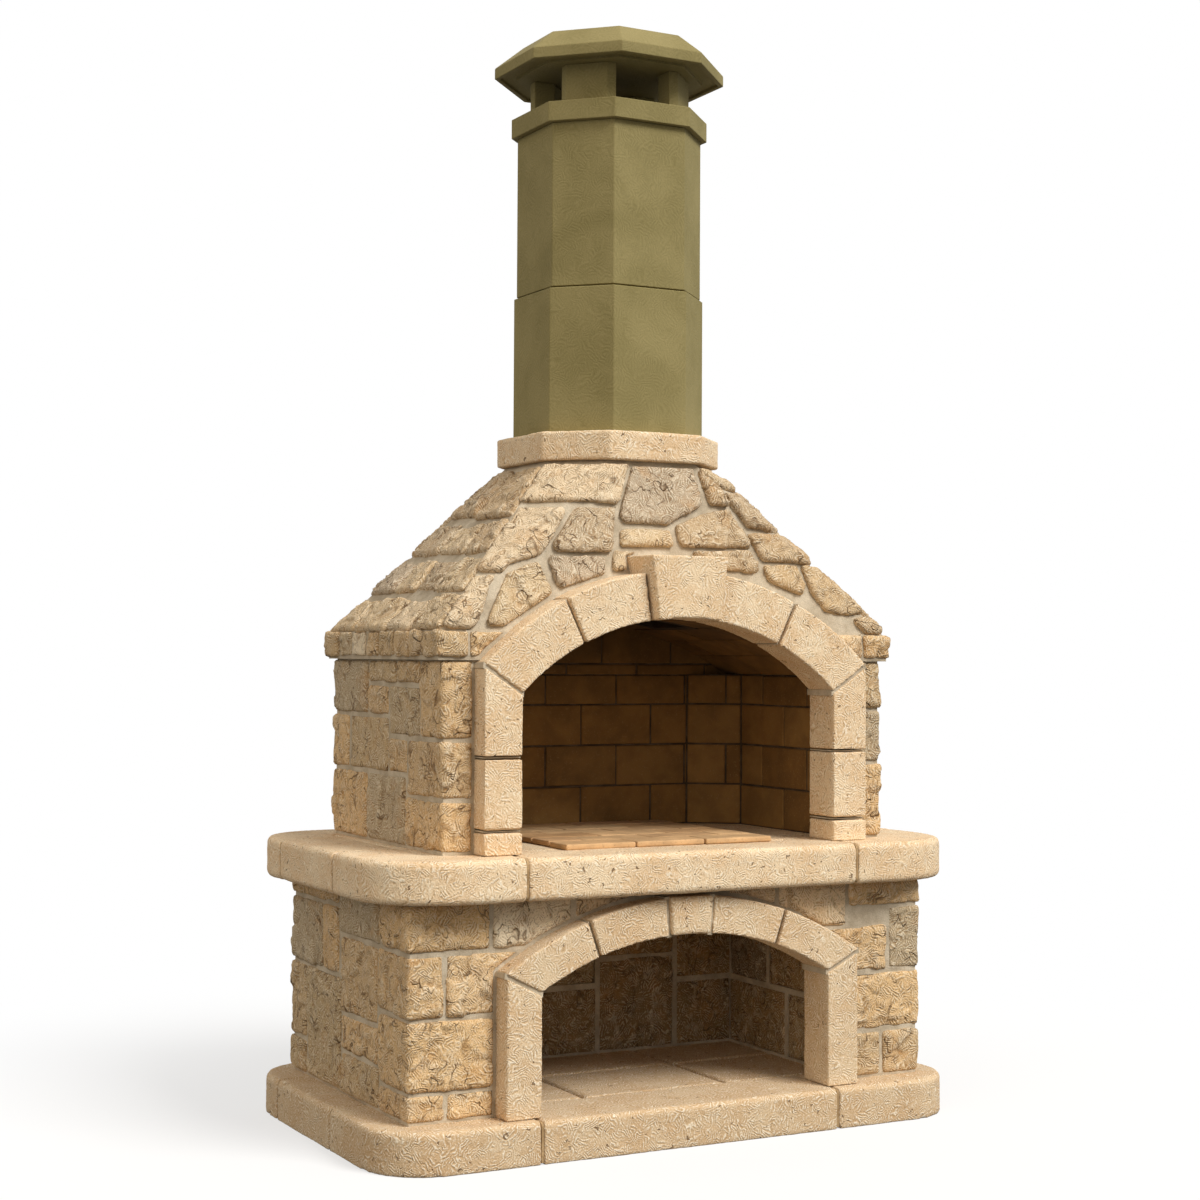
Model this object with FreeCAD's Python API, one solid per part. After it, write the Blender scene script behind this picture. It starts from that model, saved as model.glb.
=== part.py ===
import FreeCAD, Part

import math
import os
import random
from collections import namedtuple

# Masonry barbecue with a log store, a fire chamber, a stone hood and a chimney, in millimetres.
# The front is -Y, +Z is up, and the origin is the centre of the footprint on the ground.

Vec = FreeCAD.Vector
ORIGIN = Vec(0, 0, 0)
UP = Vec(0, 0, 1)

# Stone facing of the walls
STONE_DEPTH = 50.0          # bed depth of a facing stone
STONE_BED = 10.0            # mortar behind a facing stone
STONE_JOINT = 12.0          # mortar between facing stones
MORTAR_RECESS = 9.0         # mortar stands back from the stone faces
FACING = STONE_DEPTH + STONE_BED

# Dressed stone: plinth, ledge, jambs and arches
DRESSED_JOINT = 6.0
DRESSED_RECESS = 4.0
ARCH_JOINT = 8.0            # joints between arch stones, jamb blocks and the facing round them

# Plinth
PLINTH_STEP = 87.0          # plinth beyond the log store walls
PLINTH_HEIGHT = 104.0
PLINTH_RING = 200.0         # bed depth of the plinth stones
PLINTH_CORNER_R = 160.0
PLINTH_ARRIS_R = 14.0
PLINTH_FRONT_STONE = 850.0  # front stone, between its joints
PLINTH_FRONT_REACH = 373.0  # front corner stones along the sides
PLINTH_REAR_REACH = 217.0   # rear corner stones along the sides
FLOOR_SLAB = 40.0           # thickness of the log store floor slabs
FLOOR_SLAB_ROWS = 2
FLOOR_SLABS_IN_ROW = 3

# Log store
BODY_WIDTH = 1482.0
BODY_DEPTH = 800.0
BODY_WALL_HEIGHT = 524.0
SIDE_CORE = 114.0           # concrete blocks behind the side facing
REAR_CORE = 80.0
CORE_COURSES = 3
CORE_BLOCK_LENGTH = 400.0
LINING_DEPTH = 35.0         # stone slips that line the log store
LINING_BED = 10.0
LINING_RECESS = 5.0
LOG_OPENING = 826.0
LOG_JAMB_WIDTH = 96.0
LOG_JAMB_PROUD = 55.0
LOG_ARCH_RADIUS = 785.0
LOG_ARCH_RING = 94.0
LOG_ARCH_CROWN = 418.0      # crown of the log store arch above its floor
LOG_KEY_HALF_ANGLE = 4.3
LOG_HAUNCH_HALF_ANGLE = 18.9
LOG_KEY_PROUD = 8.0

# Ledge and hearth
LEDGE_OVERHANG = 100.0
LEDGE_HEIGHT = 106.0
LEDGE_RING = 180.0
LEDGE_CORNER_R = 210.0
LEDGE_ARRIS_R = 16.0
LEDGE_FRONT_STONE = 950.0
LEDGE_FRONT_REACH = 350.0
LEDGE_REAR_REACH = 270.0
PAVER_LENGTH = 198.0
PAVER_DEPTH = 96.0
PAVER_THICKNESS = 15.0
PAVER_JOINT = 4.0
PAVERS_IN_ROW = 3
PAVER_ROWS = 6
PAVER_BACK_GAP = 8.0        # from the last row to the fire back

# Fire chamber
UPPER_SETBACK_X = 99.5      # fire chamber walls inside the log store walls
UPPER_SETBACK_Y = 37.0
UPPER_WALL_HEIGHT = 475.0
INSULATION = 25.0
BRICK_LENGTH = 220.0
BRICK_HEIGHT = 110.0
BRICK_DEPTH = 30.0
BRICK_JOINT = 5.0
BRICK_RECESS = 3.0
VAULT_SPRINGING = 430.0     # above the hearth
VAULT_RISE = 153.0
SPLAY_X = 129.5             # corner splays of the fire back
SPLAY_Y = 89.0
THROAT_WIDTH = 410.0
THROAT_DEPTH = 180.0
THROAT_CENTRE_Y = 15.0
THROAT_FRAME = 25.0
THROAT_TOP = 670.0          # top of the throat frame above the hearth
FIRE_OPENING = 904.0
FIRE_JAMB_WIDTH = 103.0
FIRE_JAMB_PROUD = 57.0
FIRE_JAMB_JOINTS = (58.0, 236.0)
FIRE_ARCH_RADIUS = 645.0
FIRE_ARCH_RING = 122.0
FIRE_ARCH_CROWN = 578.5     # crown of the fire arch above the hearth
FIRE_KEY_HALF_ANGLE = 8.3
FIRE_HAUNCH_HALF_ANGLE = 25.9
FIRE_KEY_PROUD = 30.0
FIRE_KEY_RISE = 36.0        # keystone above the back of the arch

# Eaves and hood
EAVES_HEIGHT = 65.0
EAVES_OVERHANG_X = 20.0
EAVES_OVERHANG_Y = 12.0
HOOD_HEIGHT = 448.0
HOOD_RECESS = 12.0
HOOD_STONE = 44.0           # bed depth of a hood stone
HOOD_BACKING = 3.4          # mortar behind a hood stone on the flattest face
HOOD_SHELL = 50.0           # wall of the hood casting, level
HOOD_JOINT = 15.0
HOOD_DRAFT = 0.9            # back of a hood stone against its face
HOOD_HIP_GAP = 3.0          # half the mortar between stones of two faces, at a hip
HOOD_SEED = 11
HOOD_LAP = 60.0             # how far a hood outline runs past a hip before it is cut there

# Chimney and cowl
COLLAR_SIDE = 271.0
COLLAR_CHAMFER = 187.0
COLLAR_HEIGHT = 77.0
COLLAR_OVERHANG = 12.0
FLUE_HALF = 150.0           # half width of the flue in the collar and chimney
LOWER_SHAFT_SIDE = 215.7
LOWER_SHAFT_CHAMFER = 176.2
LOWER_SHAFT_HEIGHT = 381.0
UPPER_SHAFT_SIDE = 212.0
UPPER_SHAFT_CHAMFER = 169.0
UPPER_SHAFT_HEIGHT = 436.0
SHAFT_GAP = 4.0             # open joint round the foot of the upper section
SHAFT_GAP_DEPTH = 9.0
BAND_SIDE = 224.0
BAND_CHAMFER = 182.8
BAND_HEIGHT = 53.0
PIER_SIDE = 214.0
PIER_CHAMFER = 113.0
PIER_HEIGHT = 105.0
PIER_DEPTH = 60.0
COWL_OUTLET = 160.0
CAP_SIDE = 237.0
CAP_CHAMFER = 242.0
CAP_RIM = 29.0
CAP_LIP = 14.0              # rim of the cap outside the drip channel
DRIP_WIDTH = 40.0
DRIP_DEPTH = 8.0
CAP_ROOF = 60.0
CAP_TOP_SCALE = 0.75

# Levels and planes that follow from the sizes above
FLOOR_Z = PLINTH_HEIGHT
LEDGE_Z = FLOOR_Z + BODY_WALL_HEIGHT
HEARTH_Z = LEDGE_Z + LEDGE_HEIGHT
SPRINGING_Z = HEARTH_Z + VAULT_SPRINGING
WALL_TOP_Z = HEARTH_Z + UPPER_WALL_HEIGHT
HOOD_Z = WALL_TOP_Z + EAVES_HEIGHT
COLLAR_Z = HOOD_Z + HOOD_HEIGHT
SHAFT_Z = COLLAR_Z + COLLAR_HEIGHT
UPPER_SHAFT_Z = SHAFT_Z + LOWER_SHAFT_HEIGHT
BAND_Z = UPPER_SHAFT_Z + UPPER_SHAFT_HEIGHT
PIER_Z = BAND_Z + BAND_HEIGHT
CAP_Z = PIER_Z + PIER_HEIGHT

BODY_X = BODY_WIDTH / 2
BODY_Y = BODY_DEPTH / 2
STORE_X = BODY_X - FACING - SIDE_CORE - LINING_BED - LINING_DEPTH
STORE_BACK_Y = BODY_Y - FACING - REAR_CORE - LINING_BED - LINING_DEPTH
STORE_FRONT_Y = -BODY_Y + FACING

UPPER_X = BODY_X - UPPER_SETBACK_X
UPPER_Y = BODY_Y - UPPER_SETBACK_Y
BOARD_X = UPPER_X - FACING
BOARD_Y = UPPER_Y - FACING
LINING_X = BOARD_X - INSULATION
LINING_Y = BOARD_Y - INSULATION
FIRE_X = LINING_X - BRICK_DEPTH
FIRE_BACK_Y = LINING_Y - BRICK_DEPTH
FIRE_FRONT_Y = -BOARD_Y
VAULT_RADIUS = (FIRE_X ** 2 + VAULT_RISE ** 2) / (2 * VAULT_RISE)
VAULT_CENTRE_Z = SPRINGING_Z + VAULT_RISE - VAULT_RADIUS
EAVES_X = UPPER_X + EAVES_OVERHANG_X
EAVES_Y = UPPER_Y + EAVES_OVERHANG_Y
HOOD_RUN = EAVES_X - COLLAR_SIDE / 2 - COLLAR_CHAMFER / math.sqrt(2) + COLLAR_OVERHANG
HOOD_BED = (HOOD_STONE + HOOD_BACKING) * math.hypot(HOOD_RUN, HOOD_HEIGHT) / HOOD_HEIGHT  # on the level

# Squared rubble layouts, as shares of a wall's length and height.
# A left wall reads from its rear corner to its front corner, as it is seen from outside.
Cell = namedtuple("Cell", "left right bottom top")
# A front corner stone: its height range, its leg on the side wall as a share of that wall, and its leg on
# the front in millimetres, where None runs to the jamb.
Quoin = namedtuple("Quoin", "bottom top side_leg front_leg")
# A rear corner stone has the same leg on the rear wall all the way up.
RearQuoin = namedtuple("RearQuoin", "bottom top side_leg")
REAR_LEG = 140.0

LOWER_QUOINS = (
    Quoin(0.0, 0.14, 0.225, 99.0),
    Quoin(0.14, 0.468, 0.225, None),
    Quoin(0.468, 0.765, 0.24, 94.0),
    Quoin(0.765, 1.0, 0.225, 218.0),
)
LOWER_RIGHT_FRONT_LEGS = (None, 100.0, None, 120.0)
LOWER_REAR_QUOINS = (
    RearQuoin(0.0, 0.18, 0.145),
    RearQuoin(0.18, 0.565, 0.145),
    RearQuoin(0.565, 0.9, 0.29),
    RearQuoin(0.9, 1.0, 0.43),
)
LOWER_SIDE_CELLS = (
    Cell(0.145, 0.455, 0.0, 0.565),
    Cell(0.29, 0.43, 0.565, 0.9),
    Cell(0.43, 0.775, 0.765, 1.0),
    Cell(0.455, 0.76, 0.39, 0.765),
    Cell(0.455, 0.775, 0.21, 0.39),
    Cell(0.455, 0.775, 0.0, 0.21),
)
LOWER_REAR_CELLS = (
    Cell(0.0, 0.28, 0.0, 0.32),
    Cell(0.28, 0.47, 0.0, 0.2),
    Cell(0.47, 0.74, 0.0, 0.36),
    Cell(0.74, 1.0, 0.0, 0.24),
    Cell(0.0, 0.16, 0.32, 0.72),
    Cell(0.16, 0.28, 0.32, 0.72),
    Cell(0.28, 0.47, 0.2, 0.58),
    Cell(0.47, 0.74, 0.36, 0.58),
    Cell(0.74, 1.0, 0.24, 0.66),
    Cell(0.0, 0.28, 0.72, 1.0),
    Cell(0.28, 0.56, 0.58, 1.0),
    Cell(0.56, 0.74, 0.58, 1.0),
    Cell(0.74, 0.88, 0.66, 1.0),
    Cell(0.88, 1.0, 0.66, 1.0),
)
# Pier and spandrel stones of the log store front, from the corner inwards in millimetres. A stone that
# starts at None starts at the jamb's line, and one that ends at None runs on until the arch cuts it.
LOWER_LEFT_PIER = (
    Cell(99.0, None, 0.0, 0.14),
    Cell(94.0, None, 0.468, 0.765),
    Cell(218.0, 440.0, 0.765, 1.0),
    Cell(440.0, 600.0, 0.86, 1.0),
)
LOWER_RIGHT_PIER = (
    Cell(120.0, None, 0.0, 0.235),
    Cell(100.0, None, 0.532, 0.765),
    Cell(None, 450.0, 0.765, 1.0),
    Cell(450.0, 600.0, 0.86, 1.0),
)
STORE_BACK_CELLS = (
    Cell(0.0, 0.2, 0.0, 0.36),
    Cell(0.2, 0.58, 0.0, 0.36),
    Cell(0.58, 0.8, 0.0, 0.5),
    Cell(0.8, 1.0, 0.0, 0.36),
    Cell(0.0, 0.12, 0.36, 0.7),
    Cell(0.12, 0.4, 0.36, 0.7),
    Cell(0.4, 0.58, 0.36, 0.7),
    Cell(0.8, 1.0, 0.36, 0.72),
    Cell(0.0, 0.3, 0.7, 1.0),
    Cell(0.3, 0.58, 0.7, 1.0),
    Cell(0.58, 0.8, 0.5, 1.0),
    Cell(0.8, 1.0, 0.72, 1.0),
)
STORE_SIDE_CELLS = (
    Cell(0.0, 0.45, 0.0, 0.36),
    Cell(0.45, 1.0, 0.0, 0.36),
    Cell(0.0, 0.62, 0.36, 0.7),
    Cell(0.62, 1.0, 0.36, 0.7),
    Cell(0.0, 0.35, 0.7, 1.0),
    Cell(0.35, 1.0, 0.7, 1.0),
)
UPPER_QUOINS = (
    Quoin(0.0, 0.275, 0.31, None),
    Quoin(0.275, 0.58, 0.3, None),
    Quoin(0.58, 1.0, 0.19, None),
)
UPPER_REAR_QUOINS = (
    RearQuoin(0.0, 0.38, 0.335),
    RearQuoin(0.38, 0.69, 0.155),
    RearQuoin(0.69, 1.0, 0.335),
)
UPPER_SIDE_CELLS = (
    Cell(0.335, 0.69, 0.0, 0.38),
    Cell(0.155, 0.53, 0.38, 0.69),
    Cell(0.53, 0.7, 0.38, 0.58),
    Cell(0.335, 0.53, 0.69, 0.86),
    Cell(0.53, 0.81, 0.58, 0.86),
    Cell(0.335, 0.6, 0.86, 1.0),
    Cell(0.6, 0.81, 0.86, 1.0),
)
UPPER_REAR_CELLS = (
    Cell(0.0, 0.24, 0.0, 0.42),
    Cell(0.24, 0.52, 0.0, 0.28),
    Cell(0.52, 0.7, 0.0, 0.44),
    Cell(0.7, 1.0, 0.0, 0.3),
    Cell(0.24, 0.38, 0.28, 0.7),
    Cell(0.38, 0.52, 0.28, 0.7),
    Cell(0.0, 0.24, 0.42, 0.74),
    Cell(0.52, 0.7, 0.44, 0.7),
    Cell(0.7, 0.86, 0.3, 0.74),
    Cell(0.86, 1.0, 0.3, 0.74),
    Cell(0.0, 0.17, 0.74, 1.0),
    Cell(0.17, 0.24, 0.74, 1.0),
    Cell(0.24, 0.48, 0.7, 1.0),
    Cell(0.48, 0.7, 0.7, 1.0),
    Cell(0.7, 1.0, 0.74, 1.0),
)
# Eaves stones along a side, from its rear corner to its front corner.
SIDE_EAVES_BREAKS = (0.0, 0.13, 0.25, 0.38, 0.5, 0.64, 0.77, 1.0)
REAR_EAVES_BREAKS = (0.0, 0.16, 0.3, 0.42, 0.58, 0.7, 0.86, 1.0)

# Hood stones. A place on a face is a share of its width, at that height, and a share of its height.
HOOD_FRONT_STONES = (
    ((0.28, 0.97), (0.9, 0.97), (0.74, 0.76), (0.52, 0.645), (0.335, 0.64), (0.305, 0.68)),
    ((0.955, 0.97), (0.985, 0.97), (0.965, 0.86), (0.91, 0.77), (0.815, 0.765), (0.85, 0.84)),
    ((0.07, 0.71), (0.265, 0.72), (0.305, 0.475), (0.125, 0.465), (0.1, 0.5)),
    ((0.325, 0.6), (0.53, 0.6), (0.53, 0.515), (0.34, 0.505)),
    ((0.565, 0.625), (0.73, 0.705), (0.89, 0.73), (0.84, 0.52), (0.57, 0.515)),
    ((0.115, 0.425), (0.295, 0.44), (0.31, 0.345), (0.205, 0.26), (0.185, 0.285)),
    ((0.325, 0.475), (0.395, 0.475), (0.4, 0.38), (0.335, 0.36)),
    ((0.035, 0.32), (0.09, 0.4), (0.184, 0.223), (0.122, 0.04), (0.09, 0.045)),
    ((0.6, 0.48), (0.82, 0.495), (0.805, 0.385), (0.62, 0.38)),
    ((0.835, 0.41), (0.95, 0.415), (0.912, 0.29), (0.88, 0.25), (0.81, 0.33)),
)
# Stones that bend round a hip from a front corner facet: a height range on the facet, and the outline of the
# part on the front, which runs on past the hip. An outline of None stays on the facet.
HipStone = namedtuple("HipStone", "bottom top front")
HOOD_LEFT_HIP = (
    HipStone(0.03, 0.31, ((-0.05, 0.03), (0.06, 0.03), (0.05, 0.12), (0.015, 0.25), (-0.05, 0.29))),
    HipStone(0.35, 0.72, ((-0.05, 0.34), (0.075, 0.44), (0.07, 0.55), (0.03, 0.69), (-0.05, 0.71))),
    HipStone(0.76, 0.98, ((-0.2, 0.76), (0.265, 0.76), (0.24, 0.98), (-0.2, 0.98))),
)
HOOD_RIGHT_HIP = (
    HipStone(0.02, 0.12, ((0.955, 0.025), (1.05, 0.02), (1.05, 0.12), (0.96, 0.1))),
    HipStone(0.15, 0.41, ((0.91, 0.16), (0.94, 0.135), (1.05, 0.16), (1.05, 0.41), (0.97, 0.415),
                          (0.92, 0.26))),
    HipStone(0.44, 0.6, ((0.85, 0.445), (1.05, 0.44), (1.05, 0.6), (0.88, 0.595))),
    HipStone(0.63, 0.85, ((0.92, 0.645), (1.1, 0.63), (1.1, 0.83), (0.975, 0.83), (0.935, 0.73))),
    HipStone(0.88, 0.98, None),
)
# Courses of the other faces: bottom, top and number of stones.
HoodCourse = namedtuple("HoodCourse", "bottom top count")
HOOD_SIDE_COURSES = (HoodCourse(0.0, 0.22, 4), HoodCourse(0.22, 0.44, 4), HoodCourse(0.44, 0.66, 3),
                     HoodCourse(0.66, 0.99, 2))
HOOD_REAR_COURSES = (HoodCourse(0.0, 0.2, 6), HoodCourse(0.2, 0.45, 5), HoodCourse(0.45, 0.7, 4),
                     HoodCourse(0.7, 0.99, 3))
HOOD_REAR_FACET = (HoodCourse(0.02, 0.24, 1), HoodCourse(0.24, 0.48, 1), HoodCourse(0.48, 0.74, 1),
                   HoodCourse(0.74, 0.99, 1))
HOOD_BREAK_SCATTER = 0.16       # of a stone's length
HOOD_SLANT_SCATTER = 0.12       # of a stone's length
HOOD_BED_SCATTER = 0.1          # of a course's height


# Basic solids

def block(x0, x1, y0, y1, z0, z1):
    """A box between two corners."""
    return Part.makeBox(x1 - x0, y1 - y0, z1 - z0, Vec(x0, y0, z0))


def prism(outline, z0, z1):
    """A plan outline of (x, y) points, raised from z0 to z1."""
    wire = Part.makePolygon([Vec(x, y, z0) for x, y in outline + outline[:1]])
    return Part.Face(wire).extrude(Vec(0, 0, z1 - z0))


def elevation(points, y0, y1):
    """A front outline of (x, z) points, taken from y0 back to y1."""
    wire = Part.makePolygon([Vec(x, y0, z) for x, z in points + points[:1]])
    return Part.Face(wire).extrude(Vec(0, y1 - y0, 0))


def turned(shape, degrees):
    """A shape built for the front, turned about the vertical axis to another wall."""
    return shape.rotated(ORIGIN, UP, degrees)


def mirrored(shape):
    """A left piece made into its right counterpart."""
    return shape.mirror(ORIGIN, Vec(1, 0, 0))


def solids_of(shape):
    """The separate solids of a shape."""
    return list(shape.Solids)


def octagon(side, chamfer, grow=0.0):
    """The plan of a square with cut corners, with an even growth on all sides."""
    half = side / 2 + chamfer / math.sqrt(2) + grow
    near = side / 2 + grow * math.tan(math.pi / 8)
    quarter = [(-near, -half), (near, -half)]
    outline = []
    for turn in range(4):
        angle = turn * math.pi / 2
        cosine = math.cos(angle)
        sine = math.sin(angle)
        for x, y in quarter:
            outline.append((x * cosine - y * sine, x * sine + y * cosine))
    return outline


def octagon_half(side, chamfer):
    """Half the width of a cut-corner square across its main faces."""
    return side / 2 + chamfer / math.sqrt(2)


def faced_solid(faces):
    """A solid from its flat faces, each a list of corner points."""
    shell = Part.Shell([Part.Face(Part.makePolygon(face + face[:1])) for face in faces])
    solid = Part.Solid(shell)
    if solid.Volume < 0:
        solid.reverse()
    return solid


def export(node, solids):
    """Write one node, of one or more separate solids."""
    shape = solids[0] if len(solids) == 1 else Part.makeCompound(solids)
    shape.exportStep(os.path.join("parts", node + ".step"))
    print(node, len(solids))


# Arched openings

class Arch:
    """A segmental arch on two jambs: its sizes and the solids that follow from them."""

    def __init__(self, base, opening, jamb_width, radius, ring, crown, front, back):
        self.base = base
        self.half = opening / 2
        self.outer = self.half + jamb_width
        self.radius = radius
        self.extrados = radius + ring
        self.centre = crown - radius
        self.front = front
        self.back = back
        self.springing = self.height(radius, self.half)
        self.shoulder = self.height(self.extrados, self.outer)

    def height(self, radius, x):
        """Height of a circle about the arch centre at x."""
        return self.centre + math.sqrt(radius ** 2 - x ** 2)

    def outline(self, half, radius, base, y0, y1):
        """A doorway shape with an arched head."""
        shoulder = self.height(radius, half)
        left_foot = Vec(-half, y0, base)
        left_top = Vec(-half, y0, shoulder)
        right_top = Vec(half, y0, shoulder)
        right_foot = Vec(half, y0, base)
        edges = [
            Part.LineSegment(left_foot, left_top).toShape(),
            Part.Arc(left_top, Vec(0, y0, self.centre + radius), right_top).toShape(),
            Part.LineSegment(right_top, right_foot).toShape(),
            Part.LineSegment(right_foot, left_foot).toShape(),
        ]
        return Part.Face(Part.Wire(edges)).extrude(Vec(0, y1 - y0, 0))

    def envelope(self, grow, y0, y1):
        """Jambs, arch and opening together, grown by a joint."""
        return self.outline(self.outer + grow, self.extrados + grow, self.base, y0, y1)

    def void(self, y0, y1):
        """The clear opening under the arch and between the jambs."""
        return self.outline(self.half, self.radius, self.base, y0, y1)

    def ring(self, y0, y1):
        """The whole arch ring, above the two skewbacks."""
        head = self.envelope(0.0, y0, y1).cut(self.void(y0 - 1, y1 + 1))
        below = [
            (-self.outer - 1, self.base - 1), (self.outer + 1, self.base - 1),
            (self.outer + 1, self.skewback(self.outer + 1)), (self.half, self.springing),
            (-self.half, self.springing), (-self.outer - 1, self.skewback(self.outer + 1)),
        ]
        return head.cut(elevation(below, y0 - 1, y1 + 1))

    def skewback(self, x):
        """Height of the sloping seat on a jamb at x."""
        slope = (self.shoulder - self.springing) / (self.outer - self.half)
        return self.springing + slope * (x - self.half)

    def wedge(self, start, end, y0, y1):
        """The sector between two angles from the crown, in degrees, positive to the right."""
        reach = 2 * self.extrados
        points = [(0.0, self.centre)]
        for angle in (start, end):
            turn = math.radians(angle)
            points.append((reach * math.sin(turn), self.centre + reach * math.cos(turn)))
        return elevation(points, y0, y1)

    def half_joint(self):
        """Half a joint between arch stones as an angle at mid ring, in degrees."""
        middle = (self.radius + self.extrados) / 2
        return math.degrees(ARCH_JOINT / 2 / middle)

    def stones(self, key, haunch):
        """The four arch stones beside the keystone, with joints between them."""
        inset = self.half_joint()
        spring = 80.0
        sectors = [(-spring, -haunch - inset), (-haunch + inset, -key - inset),
                   (key + inset, haunch - inset), (haunch + inset, spring)]
        ring = self.ring(self.front, self.back)
        return [ring.common(self.wedge(a, b, self.front, self.back)) for a, b in sectors]

    def keystone(self, key, proud, rise):
        """The keystone, proud of the arch and standing above its back."""
        inset = self.half_joint()
        y0 = self.front - proud
        top = self.centre + self.extrados + rise
        wedge = self.wedge(-key + inset, key - inset, y0, self.back)
        slab = block(-self.outer, self.outer, y0, self.back, self.base, top)
        return wedge.common(slab).cut(self.void(y0 - 1, self.back + 1))

    def jamb(self, joints):
        """The left jamb as a list of blocks, the top one cut to the skewback."""
        breaks = [self.base] + [self.base + joint for joint in joints]
        tops = breaks[1:] + [None]
        blocks = []
        for bottom, top in zip(breaks, tops):
            lift = 0.0 if bottom == self.base else ARCH_JOINT / 2
            if top is None:
                head = [(-self.half, self.springing - ARCH_JOINT), (-self.outer, self.shoulder - ARCH_JOINT)]
            else:
                head = [(-self.half, top - ARCH_JOINT / 2), (-self.outer, top - ARCH_JOINT / 2)]
            foot = [(-self.outer, bottom + lift), (-self.half, bottom + lift)]
            blocks.append(elevation(foot + head, self.front, self.back))
        return blocks

    def mortar(self, stones):
        """The joints between jamb blocks and arch stones, set back from their faces."""
        y0 = self.front + MORTAR_RECESS
        frame = self.envelope(0.0, y0, self.back).cut(self.void(y0 - 1, self.back + 1))
        return solids_of(frame.cut(stones))


# Rings of dressed stone

def edges_at(shape, height):
    """The outer edges of a slab that lie at one height."""
    return [edge for edge in shape.Edges
            if abs(edge.BoundBox.ZMin - height) < 0.01 and abs(edge.BoundBox.ZMax - height) < 0.01]


def soft_slab(half_x, half_y, corner, arris, z0, z1, round_below):
    """A slab with round corners in plan and round arrises, above and where asked below too."""
    slab = block(-half_x, half_x, -half_y, half_y, z0, z1)
    upright = [edge for edge in slab.Edges if abs(edge.tangentAt(edge.FirstParameter).z) > 0.9]
    slab = slab.makeFillet(corner, upright)
    soft_edges = edges_at(slab, z1)
    if round_below:
        soft_edges += edges_at(slab, z0)
    return slab.makeFillet(arris, soft_edges)


def ring_cells(half_x, half_y, width, front_x, side_y):
    """Plan boxes of the eight ring stones, by name."""
    front_y, rear_y = side_y
    inner_x = half_x - width
    inner_y = half_y - width
    return {
        "front_stone": (-front_x, front_x, -half_y, -inner_y),
        "front_left_corner": (-half_x, -front_x, -half_y, front_y),
        "front_right_corner": (front_x, half_x, -half_y, front_y),
        "left_stone": (-half_x, -inner_x, front_y, rear_y),
        "right_stone": (inner_x, half_x, front_y, rear_y),
        "rear_left_corner": (-half_x, -front_x, rear_y, half_y),
        "rear_right_corner": (front_x, half_x, rear_y, half_y),
        "rear_stone": (-front_x, front_x, inner_y, half_y),
    }


def ring_of_stones(prefix, half_x, half_y, width, corner, arris, z0, z1, front_x, side_y, round_below):
    """A ring of eight dressed stones, with round arrises and an open middle. Returns its thin joints."""
    inner_x = half_x - width
    inner_y = half_y - width
    hollow = block(-inner_x, inner_x, -inner_y, inner_y, z0 - 1, z1 + 1)
    ring = soft_slab(half_x, half_y, corner, arris, z0, z1, round_below).cut(hollow)
    gap = DRESSED_JOINT / 2
    stones = []
    for name, (x0, x1, y0, y1) in ring_cells(half_x, half_y, width, front_x, side_y).items():
        ends_x = [x + step if abs(x) == front_x else x for x, step in ((x0, gap), (x1, -gap))]
        ends_y = [y + step if y in side_y else y for y, step in ((y0, gap), (y1, -gap))]
        stone = ring.common(block(ends_x[0], ends_x[1], ends_y[0], ends_y[1], z0, z1))
        export(prefix + "_" + name, [stone])
        stones.append(stone)
    back = DRESSED_RECESS
    set_back = soft_slab(half_x - back, half_y - back, corner - back, arris - back, z0 + back, z1 - back,
                         round_below)
    return solids_of(set_back.cut(hollow).cut(stones))


# Squared rubble facing

def wall_stone(degrees, half_length, distance, cell, z0, height):
    """One facing stone of a wall, from its cell in the wall's layout."""
    gap = STONE_JOINT / 2
    length = 2 * half_length
    stone = block(-half_length + cell.left * length + gap, -half_length + cell.right * length - gap,
                  -distance, -distance + STONE_DEPTH,
                  z0 + cell.bottom * height + gap, z0 + cell.top * height - gap)
    return turned(stone, degrees)


def corner_stone(half_x, half_y, to_right, to_rear, leg_x, leg_y, z0, z1):
    """An L-shaped corner stone with one leg on each wall."""
    gap = STONE_JOINT / 2
    inner_x = half_x - STONE_DEPTH
    inner_y = half_y - STONE_DEPTH
    end_x = half_x - leg_x + gap
    end_y = half_y - leg_y + gap
    outline = [(half_x, half_y), (half_x, end_y), (inner_x, end_y), (inner_x, inner_y), (end_x, inner_y),
               (end_x, half_y)]
    sign_x = 1 if to_right else -1
    sign_y = 1 if to_rear else -1
    return prism([(sign_x * x, sign_y * y) for x, y in outline], z0 + gap, z1 - gap)


def flipped(cell):
    """A cell of the left wall as the right wall has it: end for end and upside down."""
    return Cell(1 - cell.right, 1 - cell.left, 1 - cell.top, 1 - cell.bottom)


def side_facing(half_x, half_y, z0, height, cells, quoins, rear_quoins, to_right, front_legs, jamb_leg):
    """One side wall's stones: its middle stones and its front and rear corner stones."""
    degrees = 90 if to_right else -90
    layout = [flipped(cell) for cell in cells] if to_right else cells
    stones = [wall_stone(degrees, half_y, half_x, cell, z0, height) for cell in layout]
    depth = 2 * half_y
    for quoin, leg in zip(quoins, front_legs):
        low, high = (1 - quoin.top, 1 - quoin.bottom) if to_right else (quoin.bottom, quoin.top)
        leg_x = jamb_leg if leg is None else leg
        stones.append(corner_stone(half_x, half_y, to_right, False, leg_x, quoin.side_leg * depth,
                                   z0 + low * height, z0 + high * height))
    for quoin in rear_quoins:
        low, high = (1 - quoin.top, 1 - quoin.bottom) if to_right else (quoin.bottom, quoin.top)
        stones.append(corner_stone(half_x, half_y, to_right, True, REAR_LEG, quoin.side_leg * depth,
                                   z0 + low * height, z0 + high * height))
    return stones


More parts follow.
